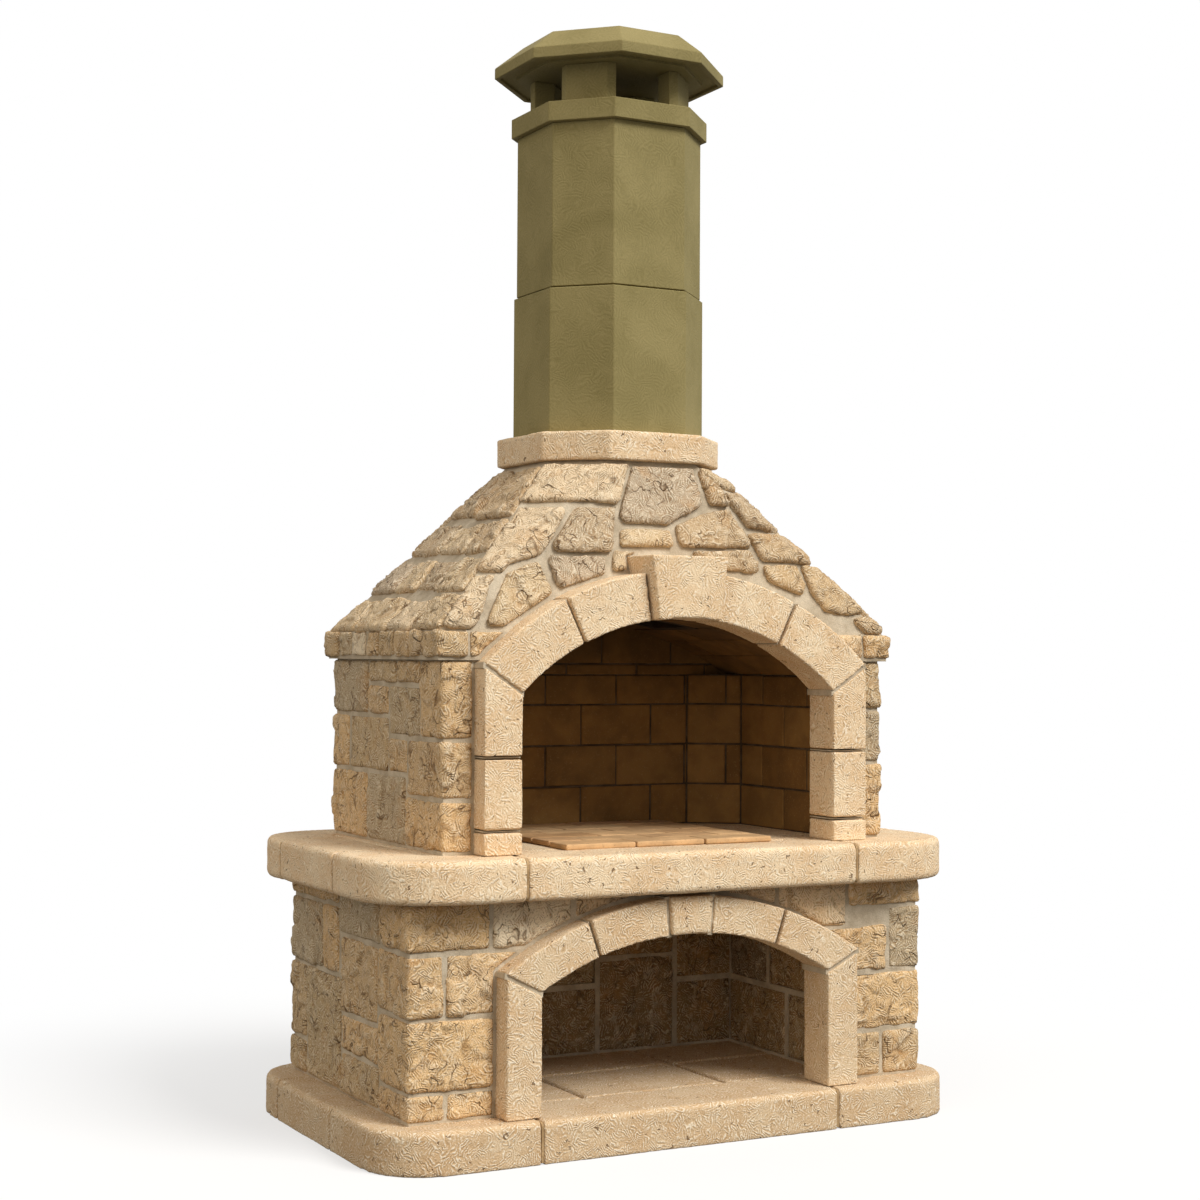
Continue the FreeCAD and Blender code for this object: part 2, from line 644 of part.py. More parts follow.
def rear_facing(half_x, half_y, z0, height, cells):
    """The rear wall's stones, between the two columns of corner stones."""
    return [wall_stone(180, half_x - REAR_LEG, half_y, cell, z0, height) for cell in cells]


def facing_layer(half_x, half_y, z0, z1, arch):
    """The mortar layer that the facing stones are bedded in, open at the arch."""
    outer = block(-half_x + MORTAR_RECESS, half_x - MORTAR_RECESS, -half_y + MORTAR_RECESS,
                  half_y - MORTAR_RECESS, z0, z1)
    inner = block(-half_x + FACING, half_x - FACING, -half_y + FACING, half_y - FACING, z0, z1)
    return outer.cut(inner).cut(arch.envelope(0.0, -half_y - FACING, -half_y + FACING))


def fire_arch():
    """The arch of the fire chamber."""
    return Arch(HEARTH_Z, FIRE_OPENING, FIRE_JAMB_WIDTH, FIRE_ARCH_RADIUS, FIRE_ARCH_RING,
                HEARTH_Z + FIRE_ARCH_CROWN, -UPPER_Y - FIRE_JAMB_PROUD, FIRE_FRONT_Y)


def log_arch():
    """The arch of the log store."""
    return Arch(FLOOR_Z, LOG_OPENING, LOG_JAMB_WIDTH, LOG_ARCH_RADIUS, LOG_ARCH_RING,
                FLOOR_Z + LOG_ARCH_CROWN, -BODY_Y - LOG_JAMB_PROUD, STORE_FRONT_Y)


# Plinth

def build_plinth():
    """Eight plinth stones round a concrete infill that carries the log store floor."""
    half_x = BODY_X + PLINTH_STEP
    half_y = BODY_Y + PLINTH_STEP
    side_y = (-half_y + PLINTH_FRONT_REACH, half_y - PLINTH_REAR_REACH)
    joints = ring_of_stones("plinth", half_x, half_y, PLINTH_RING, PLINTH_CORNER_R, PLINTH_ARRIS_R,
                            0.0, FLOOR_Z, PLINTH_FRONT_STONE / 2, side_y, False)
    inner_x = half_x - PLINTH_RING
    inner_y = half_y - PLINTH_RING
    slab_z = FLOOR_Z - FLOOR_SLAB
    export("base_infill", [block(-inner_x, inner_x, -inner_y, inner_y, 0.0, slab_z)])
    pitch_x = 2 * inner_x / FLOOR_SLABS_IN_ROW
    pitch_y = 2 * inner_y / FLOOR_SLAB_ROWS
    gap = DRESSED_JOINT / 2
    slabs = []
    for column in range(FLOOR_SLABS_IN_ROW):
        for row in range(FLOOR_SLAB_ROWS):
            x0 = -inner_x + column * pitch_x
            y0 = -inner_y + row * pitch_y
            slabs.append(block(x0 + gap, x0 + pitch_x - gap, y0 + gap, y0 + pitch_y - gap, slab_z, FLOOR_Z))
    export("log_store_floor_slabs", slabs)
    return joints


# Log store

def core_blocks():
    """Concrete blocks behind the facing: two side walls and the rear wall between them."""
    side_x = (BODY_X - FACING - SIDE_CORE, BODY_X - FACING)
    core_y = BODY_Y - FACING
    runs = [
        (-side_x[1], -side_x[0], -core_y, core_y),
        (side_x[0], side_x[1], -core_y, core_y),
        (-side_x[0], side_x[0], core_y - REAR_CORE, core_y),
    ]
    course = BODY_WALL_HEIGHT / CORE_COURSES
    blocks = []
    for x0, x1, y0, y1 in runs:
        along_x = x1 - x0 > y1 - y0
        length = x1 - x0 if along_x else y1 - y0
        count = math.ceil(length / CORE_BLOCK_LENGTH)
        pitch = length / count
        for level in range(CORE_COURSES):
            z0 = FLOOR_Z + level * course
            shift = pitch / 2 if level % 2 else 0.0
            cuts = sorted({0.0, length} | {shift + index * pitch for index in range(count)})
            for start, end in zip(cuts, cuts[1:]):
                if along_x:
                    blocks.append(block(x0 + start, x0 + end, y0, y1, z0, z0 + course))
                else:
                    blocks.append(block(x0, x1, y0 + start, y0 + end, z0, z0 + course))
    return blocks


def store_lining():
    """Stone slips that line the log store, and the mortar that they are bedded in."""
    gap = STONE_JOINT / 2
    back_x = STORE_X + LINING_DEPTH + LINING_BED
    deep = LINING_DEPTH + LINING_BED
    stones = []
    for cell in STORE_BACK_CELLS:
        x0 = -back_x + cell.left * 2 * back_x
        x1 = -back_x + cell.right * 2 * back_x
        z0 = FLOOR_Z + cell.bottom * BODY_WALL_HEIGHT
        z1 = FLOOR_Z + cell.top * BODY_WALL_HEIGHT
        stones.append(block(x0 + gap, x1 - gap, STORE_BACK_Y, STORE_BACK_Y + LINING_DEPTH,
                            z0 + gap, z1 - gap))
    depth = STORE_BACK_Y - STORE_FRONT_Y
    for cell in STORE_SIDE_CELLS:
        y0 = STORE_FRONT_Y + cell.left * depth
        y1 = STORE_FRONT_Y + cell.right * depth
        z0 = FLOOR_Z + cell.bottom * BODY_WALL_HEIGHT
        z1 = FLOOR_Z + cell.top * BODY_WALL_HEIGHT
        stone = block(-STORE_X - LINING_DEPTH, -STORE_X, y0 + gap, y1 - gap, z0 + gap, z1 - gap)
        stones += [stone, mirrored(stone)]
    side = block(-STORE_X - deep, -STORE_X - LINING_RECESS, STORE_FRONT_Y, STORE_BACK_Y, FLOOR_Z, LEDGE_Z)
    back = block(-back_x, back_x, STORE_BACK_Y + LINING_RECESS, STORE_BACK_Y + deep, FLOOR_Z, LEDGE_Z)
    mortar = [side.cut(stones), mirrored(side).cut(stones), back.cut(stones)]
    return stones, mortar


def pier_stones(cells, to_right, arch, jamb_leg):
    """Front stones between a corner and the arch, cut round the arch."""
    gap = STONE_JOINT / 2
    keep_clear = arch.envelope(ARCH_JOINT, -BODY_Y - 1, -BODY_Y + FACING)
    stones = []
    for cell in cells:
        start = jamb_leg if cell.left is None else cell.left
        end = BODY_X if cell.right is None else cell.right
        stone = block(-BODY_X + start + gap, -BODY_X + end - gap, -BODY_Y, -BODY_Y + STONE_DEPTH,
                      FLOOR_Z + cell.bottom * BODY_WALL_HEIGHT + gap,
                      FLOOR_Z + cell.top * BODY_WALL_HEIGHT - gap)
        stones += solids_of((mirrored(stone) if to_right else stone).cut(keep_clear))
    return stones


def build_log_store():
    """Core blocks, facing, lining and the log store arch."""
    arch = log_arch()
    jamb_leg = BODY_X - arch.outer - ARCH_JOINT + STONE_JOINT / 2
    left_legs = [quoin.front_leg for quoin in LOWER_QUOINS]
    left = side_facing(BODY_X, BODY_Y, FLOOR_Z, BODY_WALL_HEIGHT, LOWER_SIDE_CELLS, LOWER_QUOINS,
                       LOWER_REAR_QUOINS, False, left_legs, jamb_leg)
    right = side_facing(BODY_X, BODY_Y, FLOOR_Z, BODY_WALL_HEIGHT, LOWER_SIDE_CELLS, LOWER_QUOINS,
                        LOWER_REAR_QUOINS, True, LOWER_RIGHT_FRONT_LEGS, jamb_leg)
    rear = rear_facing(BODY_X, BODY_Y, FLOOR_Z, BODY_WALL_HEIGHT, LOWER_REAR_CELLS)
    front = pier_stones(LOWER_LEFT_PIER, False, arch, jamb_leg)
    front += pier_stones(LOWER_RIGHT_PIER, True, arch, jamb_leg)
    jamb = arch.jamb(())
    ring = arch.stones(LOG_KEY_HALF_ANGLE, LOG_HAUNCH_HALF_ANGLE)
    key = arch.keystone(LOG_KEY_HALF_ANGLE, LOG_KEY_PROUD, 0.0)
    layer = facing_layer(BODY_X, BODY_Y, FLOOR_Z, LEDGE_Z, arch)
    facing_mortar = solids_of(layer.cut(left + right + rear + front + [key]))
    arch_mortar = arch.mortar(jamb + [mirrored(stone) for stone in jamb] + ring + [key])
    lining, lining_mortar = store_lining()

    export("lower_core_blocks", core_blocks())
    export("lower_facing_left", left)
    export("lower_facing_right", right)
    export("lower_facing_rear", rear)
    export("lower_facing_front", front)
    export("log_store_lining_stones", lining)
    export("lower_jamb_left", jamb)
    export("lower_jamb_right", [mirrored(stone) for stone in jamb])
    export("lower_arch_stones", ring)
    export("lower_keystone", [key])
    export("lower_mortar", facing_mortar + arch_mortar + lining_mortar)


# Ledge and hearth

def build_hearth():
    """Eight ledge stones round the hearth slab, with a pad of clay pavers on it."""
    half_x = BODY_X + LEDGE_OVERHANG
    half_y = BODY_Y + LEDGE_OVERHANG
    side_y = (-half_y + LEDGE_FRONT_REACH, half_y - LEDGE_REAR_REACH)
    joints = ring_of_stones("ledge", half_x, half_y, LEDGE_RING, LEDGE_CORNER_R, LEDGE_ARRIS_R,
                            LEDGE_Z, HEARTH_Z, LEDGE_FRONT_STONE / 2, side_y, True)
    inner_x = half_x - LEDGE_RING
    inner_y = half_y - LEDGE_RING
    export("hearth_slab", [block(-inner_x, inner_x, -inner_y, inner_y, LEDGE_Z, HEARTH_Z)])

    pitch_x = PAVER_LENGTH + PAVER_JOINT
    pitch_y = PAVER_DEPTH + PAVER_JOINT
    pad_x = (PAVERS_IN_ROW * pitch_x - PAVER_JOINT) / 2
    pad_y = FIRE_BACK_Y - PAVER_BACK_GAP - PAVER_ROWS * pitch_y + PAVER_JOINT
    pavers = []
    for row in range(PAVER_ROWS):
        y0 = pad_y + row * pitch_y
        start = -pad_x - (pitch_x / 2 if row % 2 else 0.0)
        for index in range(PAVERS_IN_ROW + row % 2):
            x0 = max(start + index * pitch_x, -pad_x)
            x1 = min(start + index * pitch_x + PAVER_LENGTH, pad_x)
            pavers.append(block(x0, x1, y0, y0 + PAVER_DEPTH, HEARTH_Z, HEARTH_Z + PAVER_THICKNESS))
    export("hearth_pavers", pavers)
    return joints


# Fire chamber

def brick_cuts(length, half_start):
    """Ends of the bricks along a course, in running bond."""
    pitch = BRICK_LENGTH + BRICK_JOINT
    cuts = [0.0]
    end = pitch / 2 if half_start else pitch
    while end < length:
        cuts.append(end)
        end += pitch
    return cuts + [length]


def course_levels(top):
    """Bottom and top of each firebrick course up to a level above the hearth, the last one cut."""
    pitch = BRICK_HEIGHT + BRICK_JOINT
    levels = []
    bottom = 0.0
    while bottom < top:
        levels.append((bottom, min(bottom + pitch, top)))
        bottom += pitch
    return levels


def brick_panel(length, top):
    """A flat panel of firebricks, its face on y = 0 and its length along x from 0."""
    gap = BRICK_JOINT / 2
    bricks = []
    for level, (low, high) in enumerate(course_levels(top)):
        cuts = brick_cuts(length, level % 2 == 1)
        for start, end in zip(cuts, cuts[1:]):
            bricks.append(block(start + gap, end - gap, 0.0, BRICK_DEPTH,
                                HEARTH_Z + low + gap, HEARTH_Z + high - gap))
    return bricks


def placed(shapes, degrees, x, y):
    """Shapes turned about the vertical axis at the origin, then moved in plan."""
    return [turned(shape, degrees).translated(Vec(x, y, 0)) for shape in shapes]


def vault_prism(radius, y0, y1):
    """A full round of the vault's circle, to cut with."""
    return Part.makeCylinder(radius, y1 - y0, Vec(0, y0, VAULT_CENTRE_Z), Vec(0, 1, 0))


def vault_sector(start, end, inner, outer, y0, y1):
    """A piece of the vault between two angles from its crown."""
    reach = 2 * outer
    points = [(0.0, VAULT_CENTRE_Z)]
    for angle in (start, end):
        points.append((reach * math.sin(angle), VAULT_CENTRE_Z + reach * math.cos(angle)))
    tube = vault_prism(outer, y0, y1).cut(vault_prism(inner, y0 - 1, y1 + 1))
    return tube.common(elevation(points, y0, y1))


def throat_block(grow, z0, z1):
    """The upright of the smoke throat, grown on its four sides."""
    half_x = THROAT_WIDTH / 2 + grow
    half_y = THROAT_DEPTH / 2 + grow
    return block(-half_x, half_x, THROAT_CENTRE_Y - half_y, THROAT_CENTRE_Y + half_y, z0, z1)


def vault_bricks():
    """Firebricks of the barrel vault in running bond, open at the throat."""
    half_angle = math.asin(FIRE_X / VAULT_RADIUS)
    arc = 2 * half_angle * VAULT_RADIUS
    rows = round(arc / (BRICK_HEIGHT + BRICK_JOINT))
    pitch = 2 * half_angle / rows
    inset = BRICK_JOINT / 2 / VAULT_RADIUS
    outer = VAULT_RADIUS + BRICK_DEPTH
    length = FIRE_BACK_Y - FIRE_FRONT_Y
    gap = BRICK_JOINT / 2
    throat = throat_block(THROAT_FRAME, SPRINGING_Z, COLLAR_Z)
    bricks = []
    for row in range(rows):
        start = -half_angle + row * pitch
        cuts = brick_cuts(length, row % 2 == 1)
        for y0, y1 in zip(cuts, cuts[1:]):
            brick = vault_sector(start + inset, start + pitch - inset, VAULT_RADIUS, outer,
                                 FIRE_FRONT_Y + y0 + gap, FIRE_FRONT_Y + y1 - gap)
            bricks += solids_of(brick.cut(throat))
    layer = vault_sector(-half_angle, half_angle, VAULT_RADIUS + BRICK_RECESS, outer,
                         FIRE_FRONT_Y, FIRE_BACK_Y)
    mortar = layer.cut(throat).cut(bricks)
    return bricks, solids_of(mortar)


def tympanum_bricks():
    """The fire back above the springing, cut to the vault's round."""
    top = VAULT_RADIUS + VAULT_CENTRE_Z + BRICK_DEPTH - HEARTH_Z
    length = 2 * LINING_X
    round_head = vault_prism(VAULT_RADIUS + BRICK_DEPTH, FIRE_BACK_Y, LINING_Y)
    above = block(-LINING_X, LINING_X, FIRE_BACK_Y, LINING_Y, SPRINGING_Z, HEARTH_Z + top)
    head = round_head.common(above)
    bricks = []
    for brick in placed(brick_panel(length, top), 0, -LINING_X, FIRE_BACK_Y):
        bricks += solids_of(brick.common(head))
    recessed = block(-LINING_X, LINING_X, FIRE_BACK_Y + BRICK_RECESS, LINING_Y, SPRINGING_Z, HEARTH_Z + top)
    mortar = head.common(recessed).cut(bricks)
    return bricks, solids_of(mortar)


def lining_plan(inset):
    """Plan outline of the fire chamber's wall faces, moved outwards by a distance."""
    lean = math.atan2(SPLAY_Y, SPLAY_X)
    side_x = FIRE_X + inset
    back_y = FIRE_BACK_Y + inset
    splay_length = inset * math.tan((math.pi / 2 - lean) / 2)
    back_length = inset * math.tan(lean / 2)
    right = [(side_x, FIRE_FRONT_Y), (side_x, FIRE_BACK_Y - SPLAY_Y + splay_length),
             (FIRE_X - SPLAY_X + back_length, back_y)]
    return right + [(-x, y) for x, y in reversed(right)]


def build_fire_chamber():
    """Facing, insulation, firebrick lining and vault, throat, and the fire arch."""
    arch = fire_arch()
    jamb_leg = UPPER_X - arch.outer - ARCH_JOINT + STONE_JOINT / 2
    legs = [None for quoin in UPPER_QUOINS]
    left = side_facing(UPPER_X, UPPER_Y, HEARTH_Z, UPPER_WALL_HEIGHT, UPPER_SIDE_CELLS, UPPER_QUOINS,
                       UPPER_REAR_QUOINS, False, legs, jamb_leg)
    right = side_facing(UPPER_X, UPPER_Y, HEARTH_Z, UPPER_WALL_HEIGHT, UPPER_SIDE_CELLS, UPPER_QUOINS,
                        UPPER_REAR_QUOINS, True, legs, jamb_leg)
    rear = rear_facing(UPPER_X, UPPER_Y, HEARTH_Z, UPPER_WALL_HEIGHT, UPPER_REAR_CELLS)
    layer = facing_layer(UPPER_X, UPPER_Y, HEARTH_Z, WALL_TOP_Z, arch)
    facing_mortar = solids_of(layer.cut(left + right + rear))

    jamb = arch.jamb(FIRE_JAMB_JOINTS)
    ring = arch.stones(FIRE_KEY_HALF_ANGLE, FIRE_HAUNCH_HALF_ANGLE)
    key = arch.keystone(FIRE_KEY_HALF_ANGLE, FIRE_KEY_PROUD, FIRE_KEY_RISE)
    arch_mortar = arch.mortar(jamb + [mirrored(stone) for stone in jamb] + ring + [key])
    eaves, eaves_mortar = eaves_course(arch)

    export("upper_facing_left", left)
    export("upper_facing_right", right)
    export("upper_facing_rear", rear)
    export("upper_jamb_left", jamb)
    export("upper_jamb_right", [mirrored(stone) for stone in jamb])
    export("upper_arch_stones", ring)
    export("upper_keystone", [key])
    export("eaves_stones", eaves)
    export("upper_mortar", facing_mortar + arch_mortar + eaves_mortar)

    side_length = FIRE_BACK_Y - SPLAY_Y - FIRE_FRONT_Y
    side = placed(brick_panel(side_length, VAULT_SPRINGING), -90, FIRE_X, FIRE_BACK_Y - SPLAY_Y)
    splay_length = math.hypot(SPLAY_X, SPLAY_Y)
    splay_turn = -math.degrees(math.atan2(SPLAY_Y, SPLAY_X))
    splay = placed(brick_panel(splay_length, VAULT_SPRINGING), splay_turn, FIRE_X - SPLAY_X, FIRE_BACK_Y)
    back_length = 2 * (FIRE_X - SPLAY_X)
    back = placed(brick_panel(back_length, VAULT_SPRINGING), 0, SPLAY_X - FIRE_X, FIRE_BACK_Y)
    sides = side + splay + [mirrored(brick) for brick in side + splay]
    outline = lining_plan(BRICK_RECESS)
    shell = prism(lining_plan(BRICK_DEPTH), HEARTH_Z, SPRINGING_Z).cut(prism(outline, HEARTH_Z, SPRINGING_Z))
    wall_mortar = solids_of(shell.cut(sides + back))
    vault, vault_mortar = vault_bricks()
    tympanum, tympanum_mortar = tympanum_bricks()
    export("firebrick_back", back + tympanum)
    export("firebrick_sides", sides)
    export("firebrick_vault", vault)
    export("firebrick_mortar", wall_mortar + vault_mortar + tympanum_mortar)

    boards = block(-BOARD_X, BOARD_X, FIRE_FRONT_Y, BOARD_Y, HEARTH_Z, SPRINGING_Z)
    boards = boards.cut(block(-LINING_X, LINING_X, FIRE_FRONT_Y, LINING_Y, HEARTH_Z, SPRINGING_Z))
    seams = [block(-BOARD_X, -LINING_X, FIRE_FRONT_Y, BOARD_Y, HEARTH_Z, SPRINGING_Z)]
    seams.append(mirrored(seams[0]))
    seams.append(block(-LINING_X, LINING_X, LINING_Y, BOARD_Y, HEARTH_Z, SPRINGING_Z))
    export("insulation_boards", [boards.common(seam) for seam in seams])

    lining = prism(lining_plan(BRICK_DEPTH), HEARTH_Z, SPRINGING_Z)
    room = block(-LINING_X, LINING_X, FIRE_FRONT_Y, LINING_Y, HEARTH_Z, SPRINGING_Z)
    splay_fill = solids_of(room.cut(lining))
    vault_solid = vault_prism(VAULT_RADIUS + BRICK_DEPTH, FIRE_FRONT_Y, LINING_Y)
    haunch = block(-BOARD_X, BOARD_X, FIRE_FRONT_Y, LINING_Y, SPRINGING_Z, HOOD_Z).cut(vault_solid)
    below = elevation([(-FIRE_X, SPRINGING_Z), (FIRE_X, SPRINGING_Z), (0.0, VAULT_CENTRE_Z)],
                      FIRE_FRONT_Y, LINING_Y)
    beam = block(-BOARD_X, BOARD_X, LINING_Y, BOARD_Y, SPRINGING_Z, HOOD_Z)
    export("refractory_fill", splay_fill + solids_of(haunch.cut(below)) + [beam])

    top = HEARTH_Z + THROAT_TOP
    frame = throat_block(THROAT_FRAME, SPRINGING_Z, top).cut(throat_block(0.0, SPRINGING_Z, top))
    export("throat_frame", [frame.cut(vault_prism(VAULT_RADIUS, FIRE_FRONT_Y, FIRE_BACK_Y))])


# Eaves

def eaves_course(arch):
    """The projecting course under the hood, and its mortar."""
    gap = STONE_JOINT / 2
    half_y = BOARD_Y
    stones = []
    for start, end in zip(SIDE_EAVES_BREAKS, SIDE_EAVES_BREAKS[1:]):
        y0 = EAVES_Y if start == 0.0 else EAVES_Y - start * 2 * EAVES_Y - gap
        y1 = -EAVES_Y if end == 1.0 else EAVES_Y - end * 2 * EAVES_Y + gap
        stone = block(-EAVES_X, -BOARD_X, y1, y0, WALL_TOP_Z + gap, HOOD_Z)
        stones += [stone, mirrored(stone)]
    for start, end in zip(REAR_EAVES_BREAKS, REAR_EAVES_BREAKS[1:]):
        x0 = -BOARD_X + start * 2 * BOARD_X + gap
        x1 = -BOARD_X + end * 2 * BOARD_X - gap
        stones.append(block(x0, x1, half_y, EAVES_Y, WALL_TOP_Z + gap, HOOD_Z))
    front = block(-BOARD_X + gap, -arch.half, -EAVES_Y, -half_y, WALL_TOP_Z + gap, HOOD_Z)
    keep_clear = arch.envelope(ARCH_JOINT, -EAVES_Y - 1, -half_y + 1)
    for stone in (front, mirrored(front)):
        stones += solids_of(stone.cut(keep_clear))
    outer = block(-EAVES_X + MORTAR_RECESS, EAVES_X - MORTAR_RECESS, -EAVES_Y + MORTAR_RECESS,
                  EAVES_Y - MORTAR_RECESS, WALL_TOP_Z, HOOD_Z)
    inner = block(-BOARD_X, BOARD_X, -half_y, half_y, WALL_TOP_Z, HOOD_Z)
    layer = outer.cut(inner).cut(arch.envelope(0.0, -EAVES_Y - 1, -half_y))
    return stones, solids_of(layer.cut(stones))


# Hood

def hood_corners(inset):
    """Lower rectangle and upper octagon of the hood, moved inwards on the level."""
    half_x = EAVES_X - inset
    half_y = EAVES_Y - inset
    plan = ((-half_x, -half_y), (half_x, -half_y), (half_x, half_y), (-half_x, half_y))
    foot = [Vec(x, y, HOOD_Z) for x, y in plan]
    head = [Vec(x, y, COLLAR_Z) for x, y in octagon(COLLAR_SIDE, COLLAR_CHAMFER, -COLLAR_OVERHANG - inset)]
    return foot, head


def hood_faces(inset):
    """The hood's faces from the front round to the right: a main face and the facet after it, four times."""
    foot, head = hood_corners(inset)
    faces = []
    for side in range(4):
        after = (side + 1) % 4
        faces.append([foot[side], foot[after], head[2 * side + 1], head[2 * side]])
        faces.append([foot[after], head[(2 * side + 2) % 8], head[2 * side + 1]])
    return faces


def hood_body(inset):
    """The hood's outer form as a solid, moved inwards on the level."""
    foot, head = hood_corners(inset)
    return faced_solid(hood_faces(inset) + [foot, head])


def clip(outline, point, normal):
    """Keep the part of a flat outline on the inner side of a line."""
    kept = []
    for here, after in zip(outline, outline[1:] + outline[:1]):
        from_line = (here[0] - point[0]) * normal[0] + (here[1] - point[1]) * normal[1]
        to_line = (after[0] - point[0]) * normal[0] + (after[1] - point[1]) * normal[1]
        if from_line <= 0:
            kept.append(here)
        if from_line * to_line < 0:
            share = from_line / (from_line - to_line)
            kept.append((here[0] + share * (after[0] - here[0]), here[1] + share * (after[1] - here[1])))
    return kept


def inset(outline, gap):
    """A convex outline, anticlockwise, drawn in by a gap."""
    cell = list(outline)
    for start, end in zip(outline, outline[1:] + outline[:1]):
        run = (end[0] - start[0], end[1] - start[1])
        length = math.hypot(*run)
        normal = (run[1] / length, -run[0] / length)
        cell = clip(cell, (start[0] - gap * normal[0], start[1] - gap * normal[1]), normal)
    return cell


def outward(face):
    """The outward direction of a hood face."""
    normal = (face[1] - face[0]).cross(face[2] - face[0])
    normal.normalize()
    return normal


def beyond_hip(face, other, gap):
    """The space past the hip, or the eaves corner, that a face shares with another, to cut stones with."""
    hip = [point for point in face if point in other]
    across = outward(face) - outward(other)
    across.normalize()
    reach = 2 * EAVES_X
    return Part.makeCylinder(reach, reach, hip[0] + across * gap, across * -1)


class HoodFace:
    """One flat face of the hood, with its own across and up directions."""

    def __init__(self, faces, index):
        self.faces = faces
        self.index = index
        self.corners = faces[index]
        self.is_facet = len(self.corners) == 3
        self.origin = self.corners[0]
        self.along = self.corners[1] - (self.corners[2] if self.is_facet else self.origin)
        self.along.normalize()
        self.normal = outward(self.corners)
        self.up = self.normal.cross(self.along)
        flat = [((point - self.origin).dot(self.along), (point - self.origin).dot(self.up))
                for point in self.corners]
        if self.is_facet:
            self.foot = (0.0, 0.0)
            self.head = (flat[2][0], flat[1][0])
            self.rise = flat[1][1]
        else:
            self.foot = (flat[0][0], flat[1][0])
            self.head = (flat[3][0], flat[2][0])
            self.rise = flat[2][1]

    def place(self, across, height):
        """A place given in shares, in millimetres on the face."""
        left = self.foot[0] + height * (self.head[0] - self.foot[0])
        right = self.foot[1] + height * (self.head[1] - self.foot[1])
        return (left + across * (right - left), height * self.rise)

    def edges(self, height):
        """The two ends of a level line across the face, run on past the hips."""
        left, level = self.place(0.0, height)
        right, level = self.place(1.0, height)
        return (left - HOOD_LAP, level), (right + HOOD_LAP, level)

    def stone(self, outline, draft):
        """One stone from its outline on the face. Its back is smaller by the draft."""
        centre_u = sum(u for u, v in outline) / len(outline)
        centre_v = sum(v for u, v in outline) / len(outline)
        rings = []
        for depth, scale in ((0.0, 1.0), (HOOD_STONE, draft)):
            base = self.origin - self.normal * depth
            points = []
            for u, v in outline:
                across = self.along * (centre_u + (u - centre_u) * scale)
                points.append(base + across + self.up * (centre_v + (v - centre_v) * scale))
            rings.append(Part.makePolygon(points + points[:1]))
        return Part.makeLoft(rings, True, True)

    def trimmed(self, stone, bent_to=None):
        """A stone cut above the eaves and along the hips, with no gap at the hip that it bends round."""
        reach = 2 * EAVES_X
        stone = stone.cut(block(-reach, reach, -reach, reach, WALL_TOP_Z, HOOD_Z + HOOD_HIP_GAP))
        for step in (-1, 1) if self.is_facet else (-2, -1, 1, 2):
            other = (self.index + step) % len(self.faces)
            gap = 0.0 if other == bent_to else HOOD_HIP_GAP
            stone = stone.cut(beyond_hip(self.corners, self.faces[other], gap))
        return solids_of(stone)

    def laid(self, shares):
        """Stones from outlines given in shares."""
        stones = []
        for outline in shares:
            places = [self.place(*share) for share in reversed(outline)]
            stones += self.trimmed(self.stone(places, HOOD_DRAFT))
        return stones

    def bent(self, front, hip_stones):
        """Stones on this facet, bent round on to the front where they have an outline there."""
        stones = []
        for hip in hip_stones:
            low = self.edges(hip.bottom)
            high = self.edges(hip.top)
            outline = [low[0], low[1], high[1], high[0]]
            if hip.front is None:
                stones += self.trimmed(self.stone(outline, 1.0))
                continue
            here = self.trimmed(self.stone(outline, 1.0), front.index)
            there = front.trimmed(front.stone([front.place(*share) for share in hip.front], 1.0), self.index)
            stones.append(here[0].fuse(there[0]).removeSplitter().Solids[0])
        return stones

    def coursed(self, courses, chance):
        """Courses of stones with scattered, slanting joints."""
        stones = []
        for course in courses:
            ends = [(0.0, 0.0)]
            for index in range(1, course.count):
                middle = index + chance.uniform(-HOOD_BREAK_SCATTER, HOOD_BREAK_SCATTER)
                slant = chance.uniform(-HOOD_SLANT_SCATTER, HOOD_SLANT_SCATTER)
                ends.append(((middle - slant) / course.count, (middle + slant) / course.count))
            ends.append((1.0, 1.0))
            for left, right in zip(ends, ends[1:]):
                sag = HOOD_BED_SCATTER * (course.top - course.bottom)
                low = [course.bottom + chance.uniform(0.0, sag) for end in (left, right)]
                high = [course.top - chance.uniform(0.0, sag) for end in (left, right)]
                outline = [self.place(left[0], low[0]), self.place(right[0], low[1]),
                           self.place(right[1], high[1]), self.place(left[1], high[0])]
                stones += self.trimmed(self.stone(inset(outline, HOOD_JOINT / 2), HOOD_DRAFT))
        return stones


